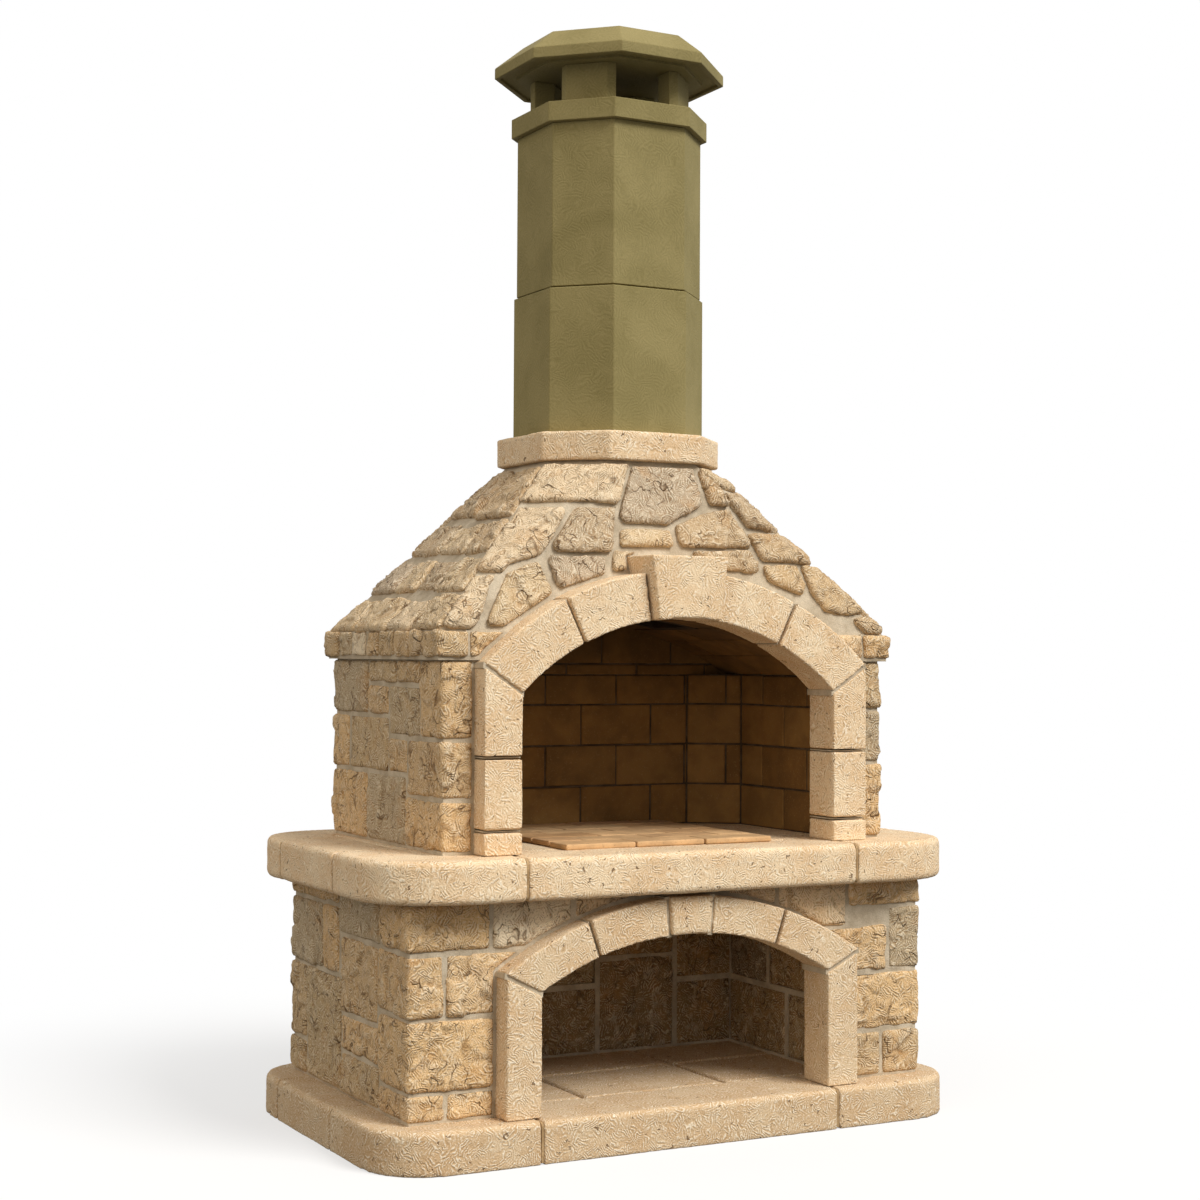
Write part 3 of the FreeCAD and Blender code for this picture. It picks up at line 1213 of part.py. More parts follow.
def build_hood():
    """The hood casting with its irregular stone facing, open inside as a smoke chamber."""
    arch = fire_arch()
    chance = random.Random(HOOD_SEED)
    faces = hood_faces(0.0)
    front_face, right_face, rear_face, left_face = range(0, len(faces), 2)
    arch_room = arch.envelope(ARCH_JOINT, -EAVES_Y - FACING, FIRE_FRONT_Y)
    key = arch.keystone(FIRE_KEY_HALF_ANGLE, FIRE_KEY_PROUD, FIRE_KEY_RISE + ARCH_JOINT)
    half_key = key.BoundBox.XMax + ARCH_JOINT
    key_room = block(-half_key, half_key, -EAVES_Y - FACING, FIRE_FRONT_Y, HEARTH_Z, key.BoundBox.ZMax)

    front_plane = HoodFace(faces, front_face)
    uncut = front_plane.laid(HOOD_FRONT_STONES)
    uncut += HoodFace(faces, left_face + 1).bent(front_plane, HOOD_LEFT_HIP)
    uncut += HoodFace(faces, front_face + 1).bent(front_plane, HOOD_RIGHT_HIP)
    front = []
    for stone in uncut:
        front += solids_of(stone.cut([arch_room, key_room]))
    left = HoodFace(faces, left_face).coursed(HOOD_SIDE_COURSES, chance)
    left += HoodFace(faces, rear_face + 1).coursed(HOOD_REAR_FACET, chance)
    right = HoodFace(faces, right_face).coursed(HOOD_SIDE_COURSES, chance)
    right += HoodFace(faces, right_face + 1).coursed(HOOD_REAR_FACET, chance)
    rear = HoodFace(faces, rear_face).coursed(HOOD_REAR_COURSES, chance)
    export("hood_facing_front", front)
    export("hood_facing_left", left)
    export("hood_facing_right", right)
    export("hood_facing_rear", rear)

    vault_room = vault_prism(VAULT_RADIUS + BRICK_DEPTH, FIRE_FRONT_Y, LINING_Y)
    ring_room = arch.envelope(0.0, -EAVES_Y - FACING, FIRE_FRONT_Y)
    key_core = arch.keystone(FIRE_KEY_HALF_ANGLE, FIRE_KEY_PROUD, FIRE_KEY_RISE)
    cuts = [vault_room, ring_room, key_core]
    bed = hood_body(HOOD_RECESS).cut(hood_body(HOOD_BED)).cut(cuts)
    export("hood_mortar", solids_of(bed.cut(front + left + right + rear)))
    shell = hood_body(HOOD_BED).cut(hood_body(HOOD_BED + HOOD_SHELL)).cut(cuts)
    export("hood_shell", solids_of(shell))


# Chimney

def tube(side, chamfer, hole_half, z0, z1):
    """A cut-corner square section with a hole of the same form."""
    wall = octagon_half(side, chamfer) - hole_half
    return prism(octagon(side, chamfer), z0, z1).cut(prism(octagon(side, chamfer, -wall), z0, z1))


def build_chimney():
    """Collar, two shaft sections, and the cowl: band, corner piers and cap."""
    export("chimney_collar", [tube(COLLAR_SIDE, COLLAR_CHAMFER, FLUE_HALF, COLLAR_Z, SHAFT_Z)])
    export("chimney_lower", [tube(LOWER_SHAFT_SIDE, LOWER_SHAFT_CHAMFER, FLUE_HALF, SHAFT_Z, UPPER_SHAFT_Z)])
    upper = tube(UPPER_SHAFT_SIDE, UPPER_SHAFT_CHAMFER, FLUE_HALF, UPPER_SHAFT_Z, BAND_Z)
    gap_z = UPPER_SHAFT_Z + SHAFT_GAP
    around = prism(octagon(LOWER_SHAFT_SIDE, LOWER_SHAFT_CHAMFER), UPPER_SHAFT_Z, gap_z)
    foot = prism(octagon(UPPER_SHAFT_SIDE, UPPER_SHAFT_CHAMFER, -SHAFT_GAP_DEPTH), UPPER_SHAFT_Z, gap_z)
    export("chimney_upper", [upper.cut(around.cut(foot))])
    pier_hole = octagon_half(PIER_SIDE, PIER_CHAMFER) - PIER_DEPTH
    export("cowl_band", [tube(BAND_SIDE, BAND_CHAMFER, pier_hole, BAND_Z, PIER_Z)])

    reach = octagon_half(PIER_SIDE, PIER_CHAMFER) + 1
    outlet = COWL_OUTLET / 2
    piers = tube(PIER_SIDE, PIER_CHAMFER, pier_hole, PIER_Z, CAP_Z)
    piers = piers.cut([block(-reach, reach, -outlet, outlet, PIER_Z, CAP_Z),
                       block(-outlet, outlet, -reach, reach, PIER_Z, CAP_Z)])
    export("cowl_piers", solids_of(piers))

    rim = octagon(CAP_SIDE, CAP_CHAMFER)
    roof_z = CAP_Z + CAP_RIM
    lower = [Vec(x, y, roof_z) for x, y in rim]
    upper = [Vec(x * CAP_TOP_SCALE, y * CAP_TOP_SCALE, roof_z + CAP_ROOF) for x, y in rim]
    roof = Part.makeLoft([Part.makePolygon(ring + ring[:1]) for ring in (lower, upper)], True, True)
    drip_z = CAP_Z + DRIP_DEPTH
    drip = prism(octagon(CAP_SIDE, CAP_CHAMFER, -CAP_LIP), CAP_Z, drip_z)
    drip = drip.cut(prism(octagon(CAP_SIDE, CAP_CHAMFER, -CAP_LIP - DRIP_WIDTH), CAP_Z, drip_z))
    export("cowl_cap", [prism(rim, CAP_Z, roof_z).fuse(roof).removeSplitter().cut(drip)])


os.makedirs("parts", exist_ok=True)
plinth_joints = build_plinth()
build_log_store()
ledge_joints = build_hearth()
export("dressed_joint_mortar", plinth_joints + ledge_joints)
build_fire_chamber()
build_hood()
build_chimney()
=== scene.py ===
"""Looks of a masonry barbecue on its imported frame: stone, firebrick, mortar and render."""

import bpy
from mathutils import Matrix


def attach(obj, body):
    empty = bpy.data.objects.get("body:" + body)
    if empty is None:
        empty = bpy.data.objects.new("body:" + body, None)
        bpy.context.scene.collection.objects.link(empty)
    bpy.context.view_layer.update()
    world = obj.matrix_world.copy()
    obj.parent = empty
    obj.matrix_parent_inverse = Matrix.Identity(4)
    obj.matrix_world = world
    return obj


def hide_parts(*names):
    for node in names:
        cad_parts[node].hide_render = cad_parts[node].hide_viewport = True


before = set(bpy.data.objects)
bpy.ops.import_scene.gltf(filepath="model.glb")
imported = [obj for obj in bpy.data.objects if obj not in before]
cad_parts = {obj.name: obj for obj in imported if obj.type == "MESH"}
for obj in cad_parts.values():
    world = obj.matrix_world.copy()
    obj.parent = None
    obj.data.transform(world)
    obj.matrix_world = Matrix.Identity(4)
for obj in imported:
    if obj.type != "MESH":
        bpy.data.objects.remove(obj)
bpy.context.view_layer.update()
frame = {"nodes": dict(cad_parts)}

import logging
import math
from dataclasses import dataclass
from enum import Enum
from itertools import product

import bmesh
import bpy
import numpy as np
from mathutils import Vector
from mathutils.bvhtree import BVHTree

Material = bpy.types.Material
Socket = bpy.types.NodeSocket

LOG = logging.getLogger("barbecue")
MM = 0.001                      # one millimetre in Blender's metres
BODY = "root"                   # the only body: nothing on this object moves


class Slot(Enum):
    """Names of material slots, which nothing here uses."""

    CAST_STONE = "cast_stone"
    SPLIT_STONE = "split_stone"
    FIREBRICK = "firebrick"
    MORTAR = "mortar"
    CLAY_PAVER = "clay_paver"
    GREEN_RENDER = "green_render"


class Hue(Enum):
    """Colours of split stone, as places along the palette of the finish."""

    GREY = 0.0
    TAUPE = 0.2
    TAN = 0.4
    OCHRE = 0.6
    SAND = 0.8
    CREAM = 1.0


# Noise in numpy

GRADIENTS = np.array([v for v in product((-1, 0, 1), repeat=3) if sum(map(abs, v)) == 2], dtype=float)
CORNERS = np.array(list(product((0, 1), repeat=3)))
NEIGHBOURS = np.array(list(product((-1, 0, 1), repeat=3)))
HASH_PRIMES = (73856093, 19349663, 83492791)
HASH_MIXES = ((16, 0x7FEB352D), (15, 0x846CA68B))
HASH_SEED = 2654435761
WORD = 0xFFFFFFFF


def scrambled(cells: np.ndarray, seed: int) -> np.ndarray:
    """Turns whole-number cells into random words.

    Args:
        cells: Cells, one row of three each.
        seed: Which of many random sets to use.

    Returns:
        One unsigned word per cell.
    """
    word = np.full(len(cells), (seed * HASH_SEED) & WORD, dtype=np.uint32)
    for axis, prime in enumerate(HASH_PRIMES):
        word ^= cells[:, axis].astype(np.uint32) * np.uint32(prime)
    for shift, factor in HASH_MIXES:
        word ^= word >> np.uint32(shift)
        word *= np.uint32(factor)
    return word ^ (word >> np.uint32(16))


def noise(points: np.ndarray, size: float, seed: int) -> np.ndarray:
    """Smooth gradient noise.

    Args:
        points: Places in mm.
        size: Size of a feature in mm.
        seed: Which noise.

    Returns:
        Values from about -1 to 1.
    """
    scaled = points / size
    base = np.floor(scaled)
    part = scaled - base
    base = base.astype(np.int64)
    fade = part ** 3 * (part * (part * 6 - 15) + 10)
    total = np.zeros(len(points))
    for corner in CORNERS:
        slope = GRADIENTS[scrambled(base + corner, seed) % len(GRADIENTS)]
        weight = np.prod(np.where(corner, fade, 1 - fade), axis=1)
        total += weight * np.einsum("ij,ij->i", slope, part - corner)
    return total


def warped(points: np.ndarray, size: float, reach: float, seed: int) -> np.ndarray:
    """Points pushed about by noise, so that patterns on them wander.

    Args:
        points: Places in mm.
        size: Size of the wander in mm.
        reach: How far points go in mm.
        seed: Which noise.

    Returns:
        The moved points.
    """
    push = [noise(points, size, seed + axis) for axis in range(3)]
    return points + reach * np.stack(push, axis=1)


def flakes(points: np.ndarray, size: float, seed: int, soft: float) -> np.ndarray:
    """Heights of flat flakes, each with its own level and tilt, met at short steps.

    Args:
        points: Places in mm.
        size: Size of a flake in mm.
        seed: Which noise.
        soft: Width of the step between two flakes, as a share of a flake.

    Returns:
        Heights from about -1 to 1.
    """
    scaled = points / size
    base = np.floor(scaled).astype(np.int64)
    total = np.zeros(len(points))
    weights = np.zeros(len(points))
    nearest = np.full(len(points), np.inf)
    found = []
    for step in NEIGHBOURS:
        cell = base + step
        centre = np.stack([scrambled(cell, seed + axis) / WORD for axis in range(3)], axis=1)
        away = scaled - cell - centre
        distance = np.einsum("ij,ij->i", away, away)
        level = np.stack([scrambled(cell, seed + axis) / WORD - 0.5 for axis in range(3, 7)], axis=1)
        found.append((distance, level[:, 3] + np.einsum("ij,ij->i", level[:, :3], away)))
        nearest = np.minimum(nearest, distance)
    for distance, height in found:
        weight = np.exp((nearest - distance) / soft)
        total += weight * height
        weights += weight
    return total / weights


# Stone working

FLAKE_SOFT = 0.01               # width of the step between two flakes, as a share of a flake
CHIP_SOFT = 0.02                # the same between two chips
RIPPLE_CREST = 0.16             # swing of the noise at which a ripple lies level with the face
PATCH_RISE = 2.5                # how sharply patches of ripples begin
PATCH_SHARE = 0.4               # how much of a face they take


@dataclass(frozen=True)
class SplitFace:
    """The face that a hammer and chisel leave on a split stone. Sizes are in mm."""

    pitch: float = 6.0          # spacing of the mesh
    wear: int = 2               # passes of smoothing that round the arrises
    swell: float = 4.0
    swell_size: float = 140.0
    flake: float = 95.0
    flake_step: float = 7.5
    chip: float = 38.0
    chip_step: float = 3.2
    bend: float = 70.0          # size of the bends in the edges of flakes, chips and ripples
    bend_reach: float = 34.0
    ripple: float = 30.0
    ripple_depth: float = 4.5
    ripple_patch: float = 90.0
    grit: float = 1.2
    grit_size: float = 12.0
    crown: float = 4.0
    lean: float = 0.0           # how much further the lower edge stands out than the upper
    gap: float = 0.0            # how far the sides stand back in the joints

    def heights(self, points: np.ndarray, seed: int) -> np.ndarray:
        """Works the face.

        Args:
            points: Places in mm.
            seed: Which stone this is, for its chance shapes.

        Returns:
            Heights at those places in mm.
        """
        wander = warped(points, self.bend, self.bend_reach, seed)
        long = noise(points, self.swell_size, seed + 11) * self.swell
        broken = flakes(wander, self.flake, seed + 23, FLAKE_SOFT) * self.flake_step
        chipped = flakes(wander, self.chip, seed + 31, CHIP_SOFT) * self.chip_step
        patches = np.clip(noise(points, self.ripple_patch, seed + 37) * PATCH_RISE + PATCH_SHARE, 0.0, 1.0)
        crests = RIPPLE_CREST - np.abs(noise(wander, self.ripple, seed + 41))
        rough = noise(wander, self.grit_size, seed + 59) * self.grit
        up = points[:, 2]
        lean = self.lean * (0.5 - (up - up.min()) / max(np.ptp(up), 1.0))
        return self.crown + long + broken + chipped + crests * self.ripple_depth * patches + rough + lean


@dataclass(frozen=True)
class TooledFace:
    """The face that a bush hammer leaves on dressed stone. Sizes are in mm."""

    pitch: float = 6.0          # spacing of the mesh
    wear: int = 4               # passes of smoothing that round the arrises
    swell: float = 1.4
    swell_size: float = 150.0
    dint: float = 1.0
    dint_size: float = 26.0
    bend: float = 30.0          # size of the bends in the edges of the dints
    bend_reach: float = 10.0
    grit: float = 0.7
    grit_size: float = 13.0
    gap: float = 0.0            # how far the sides stand back in the joints

    def heights(self, points: np.ndarray, seed: int) -> np.ndarray:
        """Works the face.

        Args:
            points: Places in mm.
            seed: Which stone this is, for its chance shapes.

        Returns:
            Heights at those places in mm.
        """
        long = noise(points, self.swell_size, seed + 11) * self.swell
        wander = warped(points, self.bend, self.bend_reach, seed)
        dints = -np.abs(noise(wander, self.dint_size, seed + 23)) * self.dint
        return long + dints + noise(points, self.grit_size, seed + 59) * self.grit


@dataclass
class Solid:
    """One solid of a CAD node: its points in mm and its triangles."""

    points: np.ndarray
    faces: np.ndarray


@dataclass
class Worked:
    """A worked mesh: points in mm, faces of four, and what its material reads at each point."""

    points: np.ndarray
    faces: np.ndarray
    tone: np.ndarray
    relief: np.ndarray


class Banker:
    """The bench where pieces are worked, with what stands round each of them."""

    OPEN = 45.0                 # mm of free space in front of a face that shows
    SKIN = 12.0                 # mm, the most that a worn arris stands inside its solid
    START = 1.0                 # mm behind the point, where a look outward starts
    PAST = 0.05                 # mm past a stone's own face, where the second look starts
    HOLLOW = 8                  # passes that even a face out, to find what lies hollow on it
    SOFTEN = 3                  # passes that soften the line between what shows and what is covered
    COVERED = (-2.5, 0.6)       # mm, lowest and highest point of a covered face
    FAR = 9000.0                # mm, how far off a stone's place in the noise may lie
    RUB = 0.5                   # share of the way to its neighbours that a point goes in one pass of wear
    WELD = 0.01                 # mm, within which two points are one

    def __init__(self, nodes: dict[str, bpy.types.Object]) -> None:
        """Keeps the CAD nodes and a search tree of all their faces.

        Args:
            nodes: The nodes by name.
        """
        self.nodes = nodes
        points: list[tuple[float, float, float]] = []
        faces: list[list[int]] = []
        for name in sorted(nodes):
            mesh = nodes[name].data
            first = len(points)
            points.extend(tuple(v.co) for v in mesh.vertices)
            faces.extend([first + i for i in p.vertices] for p in mesh.polygons)
        self.tree = BVHTree.FromPolygons(points, faces)

    def solids(self, node: str) -> list[Solid]:
        """The solids of a node, in their order in the file.

        Args:
            node: Name of the CAD node.

        Returns:
            Its solids.
        """
        mesh = self.nodes[node].data
        mesh.calc_loop_triangles()
        points = np.empty(len(mesh.vertices) * 3)
        mesh.vertices.foreach_get("co", points)
        faces = np.empty(len(mesh.loop_triangles) * 3, dtype=np.int64)
        mesh.loop_triangles.foreach_get("vertices", faces)
        keys = np.round(points.reshape(-1, 3) / (self.WELD * MM)).astype(np.int64)
        _, first, inverse = np.unique(keys, axis=0, return_index=True, return_inverse=True)
        inverse = inverse.reshape(-1)
        faces = inverse[faces].reshape(-1, 3)
        faces = faces[np.all(faces != np.roll(faces, 1, axis=1), axis=1)]
        label = np.arange(len(first))
        while True:
            lowest = label[faces].min(axis=1)
            grown = label.copy()
            for corner in range(3):
                np.minimum.at(grown, faces[:, corner], lowest)
            grown = grown[grown]
            if np.array_equal(grown, label):
                break
            label = grown
        points = points.reshape(-1, 3)[first] / MM
        order = {}
        for key, place in zip(label, first):
            order[key] = min(place, order.get(key, place))
        found = []
        for key in sorted(order, key=order.get):
            mine = faces[label[faces[:, 0]] == key]
            used, local = np.unique(mine, return_inverse=True)
            found.append(Solid(points[used], local.reshape(-1, 3)))
        return found

    def remeshed(self, solid: Solid, pitch: float, wear: int) -> tuple[np.ndarray, np.ndarray]:
        """A solid as an even mesh with worn arrises.

        Args:
            solid: The solid.
            pitch: Spacing of the mesh in mm.
            wear: Passes of smoothing that round the arrises.

        Returns:
            Points in mm, and faces of four points.
        """
        mesh = bpy.data.meshes.new("bench")
        mesh.from_pydata((solid.points * MM).tolist(), [], solid.faces.tolist())
        bench = bpy.data.objects.new("bench", mesh)
        bpy.context.scene.collection.objects.link(bench)
        grid = bench.modifiers.new("grid", "REMESH")
        grid.mode = "VOXEL"
        grid.voxel_size = pitch * MM
        worn = bench.modifiers.new("worn", "SMOOTH")
        worn.factor = self.RUB
        worn.iterations = wear
        graph = bpy.context.evaluated_depsgraph_get()
        seen = bench.evaluated_get(graph)
        made = seen.to_mesh()
        points = np.empty(len(made.vertices) * 3)
        made.vertices.foreach_get("co", points)
        faces = np.empty(len(made.loops), dtype=np.int64)
        made.loops.foreach_get("vertex_index", faces)
        seen.to_mesh_clear()
        bpy.data.objects.remove(bench)
        bpy.data.meshes.remove(mesh)
        return points.reshape(-1, 3) / MM, faces.reshape(-1, 4)

    def shows(self, points: np.ndarray, normals: np.ndarray) -> np.ndarray:
        """Which points face the open, and not a joint or a bed.

        Args:
            points: Places in mm.
            normals: Unit normals there.

        Returns:
            1 where a point shows and 0 where it is covered.
        """
        found = np.zeros(len(points))
        for index, (point, normal) in enumerate(zip(points * MM, normals)):
            start = Vector(point - normal * self.START * MM)
            look = Vector(normal)
            hit, facing, _, distance = self.tree.ray_cast(start, look, self.OPEN * MM)
            if hit is not None and facing.dot(look) > 0 and distance < self.SKIN * MM:
                hit, _, _, _ = self.tree.ray_cast(hit + look * (self.PAST * MM), look, self.OPEN * MM)
            found[index] = hit is None
        return found

    def worked(self, solid: Solid, face: SplitFace | TooledFace, seed: int, tone: float) -> Worked:
        """A solid worked into a stone.

        Args:
            solid: The solid.
            face: How its faces are worked.
            seed: Which stone this is, for its chance shapes.
            tone: Its tone, from 0 to 1.

        Returns:
            The stone.
        """
        points, faces = self.remeshed(solid, face.pitch, face.wear)
        normals = vertex_normals(points, faces)
        bare = spread(self.shows(points, normals), faces, self.SOFTEN)
        place = np.random.default_rng(seed).uniform(-self.FAR, self.FAR, 3)
        heights = face.heights(points + place, seed)
        covered = np.clip(heights, *self.COVERED) - face.gap
        moved = bare * heights + (1 - bare) * covered
        points = points + normals * moved[:, None]
        # How high each point lies against its surroundings; the material paints shade where this is low and
        # highlight where it is high.
        hollow = heights - spread(heights, faces, self.HOLLOW)
        return Worked(points, faces, np.full(len(points), tone), hollow)


def vertex_normals(points: np.ndarray, faces: np.ndarray) -> np.ndarray:
    """Normals of a mesh of four-sided faces.

    Args:
        points: The points.
        faces: Its faces, as rows of four points.

    Returns:
        A unit normal at each point.
    """
    across = points[faces[:, 2]] - points[faces[:, 0]]
    along = points[faces[:, 3]] - points[faces[:, 1]]
    flat = np.cross(across, along)
    total = np.zeros_like(points)
    for corner in range(4):
        for axis in range(3):
            total[:, axis] += np.bincount(faces[:, corner], flat[:, axis], len(points))
    return total / np.maximum(np.linalg.norm(total, axis=1, keepdims=True), 1e-12)


def spread(values: np.ndarray, faces: np.ndarray, passes: int) -> np.ndarray:
    """Evens values out over a mesh of four-sided faces.

    Args:
        values: A value at each point.
        faces: Its faces, as rows of four points.
        passes: How often each takes in its neighbours.

    Returns:
        The new values.
    """
    count = np.bincount(faces.ravel(), minlength=len(values))
    for _ in range(passes):
        mean = values[faces].mean(axis=1)
        values = np.bincount(faces.ravel(), np.repeat(mean, 4), len(values)) / np.maximum(count, 1)
    return values


# Setting of pieces

NEXT_STONE = 101                # step in the seeds from one stone of a node to the next
FLAT_TO = 2.0                   # degrees, up to which two faces of a brick are one
SHADED_SHARP = 40.0             # degrees, from which an edge is shaded as sharp
ARRIS_STEPS = 3                 # faces across a round arris
ROUND = 0.5                     # profile of a bevel that is part of a circle
SINGLE_BED = 260.0              # mm, the longest bed of mortar between two dressed blocks
MITRE = 1.8                     # most that a corner of a mortar bed moves, in moves of its faces


def seed_of(node: str, step: int = 3) -> int:
    """A whole number that is a node's own, for its chance shapes and colours."""
    return sum(ord(letter) * (place + step) for place, letter in enumerate(node))


def place_piece(mesh: bpy.types.Mesh, node: str, material: Material) -> bpy.types.Object:
    """Sets a finished mesh in place as the piece that stands for a CAD node.

    Args:
        mesh: The mesh, which gives the piece its name.
        node: The CAD node that it stands for.
        material: Its finish.

    Returns:
        The piece.
    """
    mesh.materials.append(material)
    piece = bpy.data.objects.new(mesh.name, mesh)
    bpy.context.scene.collection.objects.link(piece)
    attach(piece, BODY)
    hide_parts(node)
    LOG.info("%s: %d faces", piece.name, len(mesh.polygons))
    return piece


def stones_mesh(name: str, worked: list[Worked]) -> bpy.types.Mesh:
    """Joins worked stones into one mesh that carries what their material reads.

    Args:
        name: Name of the mesh.
        worked: The stones.

    Returns:
        The mesh.
    """
    starts = np.cumsum([0] + [len(w.points) for w in worked])
    points = np.concatenate([w.points for w in worked]) * MM
    faces = np.concatenate([w.faces + start for w, start in zip(worked, starts)])
    mesh = bpy.data.meshes.new(name)
    mesh.vertices.add(len(points))
    mesh.vertices.foreach_set("co", points.astype(np.float32).ravel())
    mesh.loops.add(faces.size)
    mesh.loops.foreach_set("vertex_index", faces.astype(np.int32).ravel())
    mesh.polygons.add(len(faces))
    mesh.polygons.foreach_set("loop_start", np.arange(0, faces.size, faces.shape[1], dtype=np.int32))
    mesh.update(calc_edges=True)
    for reading in ("tone", "relief"):
        values = np.concatenate([getattr(w, reading) for w in worked]).astype(np.float32)
        mesh.attributes.new(reading, "FLOAT", "POINT").data.foreach_set("value", values)
    mesh.shade_smooth()
    return mesh


def lay_stones(banker: Banker, node: str, face: SplitFace | TooledFace,
               material: Material, tones: list[float]) -> None:
    """Works every solid of a node into a stone and sets them as one piece.

    Args:
        banker: The bench.
        node: Name of the CAD node.
        face: How the stones are worked.
        material: Their finish.
        tones: Tones of the stones in order, used again from the first where there are too few.
    """
    worked = []
    for index, solid in enumerate(banker.solids(node)):
        seed = seed_of(node) + NEXT_STONE * index
        worked.append(banker.worked(solid, face, seed, tones[index % len(tones)]))
    place_piece(stones_mesh(node + "_worked", worked), node, material)


def lay_bricks(banker: Banker, node: str, arris: float, slip: float,
               material: Material, sharp_from: float = 35.0) -> None:
    """Gives every solid of a node round arrises and a slight slip, as laid bricks and castings have.

    Args:
        banker: The bench.
        node: Name of the CAD node.
        arris: Radius of the arrises in mm.
        slip: How far a brick may sit out of line in mm.
        material: Their finish.
        sharp_from: Angle in degrees from which an edge is an arris.
    """
    draw = np.random.default_rng(seed_of(node))
    flat, sharp, shaded = (math.radians(angle) for angle in (FLAT_TO, sharp_from, SHADED_SHARP))
    shape = bmesh.new()
    tone = shape.verts.layers.float.new("tone")
    for solid in banker.solids(node):
        out = draw.uniform(-slip, slip, 3)
        colour = float(draw.uniform(0.0, 1.0))
        brick = bmesh.new()
        verts = [brick.verts.new(p * MM) for p in solid.points + out]
        for face in solid.faces:
            brick.faces.new([verts[i] for i in face])
        bmesh.ops.dissolve_limit(brick, angle_limit=flat, verts=brick.verts, edges=brick.edges)
        edges = [e for e in brick.edges if e.is_manifold and e.calc_face_angle() > sharp]
        bmesh.ops.bevel(brick, geom=edges, offset=arris * MM, segments=ARRIS_STEPS, profile=ROUND,
                        affect="EDGES", clamp_overlap=True)
        made = {v: shape.verts.new(v.co) for v in brick.verts}
        for vert in made.values():
            vert[tone] = colour
        for face in brick.faces:
            shape.faces.new([made[v] for v in face.verts]).smooth = True
        brick.free()
    mesh = bpy.data.meshes.new(node + "_laid")
    shape.to_mesh(mesh)
    shape.free()
    mesh.set_sharp_from_angle(angle=shaded)
    piece = place_piece(mesh, node, material)
    piece.modifiers.new("flat_faces", "WEIGHTED_NORMAL").keep_sharp = True


def point_up(banker: Banker, node: str, out: float, raked: float, material: Material) -> None:
    """Fills the wide joints of a mortar node nearer to the face, and rakes out the thin ones.

    Args:
        banker: The bench.
        node: Name of the CAD node.
        out: How much nearer, in mm.
        raked: How much deeper the single beds between dressed blocks lie, in mm.
        material: Its finish.
    """
    shape = bmesh.new()
    reach = {}
    for solid in banker.solids(node):
        verts = [shape.verts.new(p * MM) for p in solid.points]
        for face in solid.faces:
            shape.faces.new([verts[i] for i in face])
        single = np.ptp(solid.points, axis=0).max() < SINGLE_BED
        reach.update(dict.fromkeys(verts, -raked if single else out))
    shape.normal_update()
    moves = [v.normal * min(v.calc_shell_factor(), MITRE) * reach[v] * MM for v in shape.verts]
    for vert, move in zip(shape.verts, moves):
        vert.co += move
    mesh = bpy.data.meshes.new(node + "_pointed")
    shape.to_mesh(mesh)
    shape.free()
    place_piece(mesh, node, material)


# Finishes

WHITE = (1.0, 1.0, 1.0, 1.0)
EASED = {"interpolation_type": "SMOOTHSTEP"}
COLOURS = {"data_type": "RGBA"}
SHARE, FIRST, SECOND = 0, 6, 7  # places of the share and the two colours on a Mix node
MIXED = 2                       # place of the mixed colour among its outputs


def linear(colour: str) -> tuple[float, float, float, float]:
    """An sRGB hex colour as linear red, green, blue and alpha."""
    parts = [int(colour[i:i + 2], 16) / 255 for i in (1, 3, 5)]
    return (*[c / 12.92 if c <= 0.04045 else ((c + 0.055) / 1.055) ** 2.4 for c in parts], 1.0)


def per_metre(size: float) -> float:
    """Texture scale for features of a size in mm."""
    return 1.0 / (size * MM)


def between(value: Socket, low: float, high: float, to_low: float, to_high: float) -> dict:
    """Inputs that take a value from one range to another."""
    return {"Value": value, "From Min": low, "From Max": high, "To Min": to_low, "To Max": to_high}


def add_node(tree: bpy.types.NodeTree, kind: str, inputs: dict | None = None, out: int | str = 0,
             **settings: str) -> Socket | None:
    """Adds one node with its settings and links.

    Args:
        tree: The node tree.
        kind: Blender's name of the node, without the ShaderNode in front.
        inputs: Values or output sockets for its inputs, by name or place.
        out: Name or place of the output that is wanted.
        settings: Properties of the node.

    Returns:
        That output, or None from a node without outputs.
    """
    node = tree.nodes.new("ShaderNode" + kind)
    for name, value in settings.items():
        setattr(node, name, value)
    for name, value in (inputs or {}).items():
        if isinstance(value, Socket):
            tree.links.new(value, node.inputs[name])
        else:
            node.inputs[name].default_value = value
    return node.outputs[out] if len(node.outputs) else None


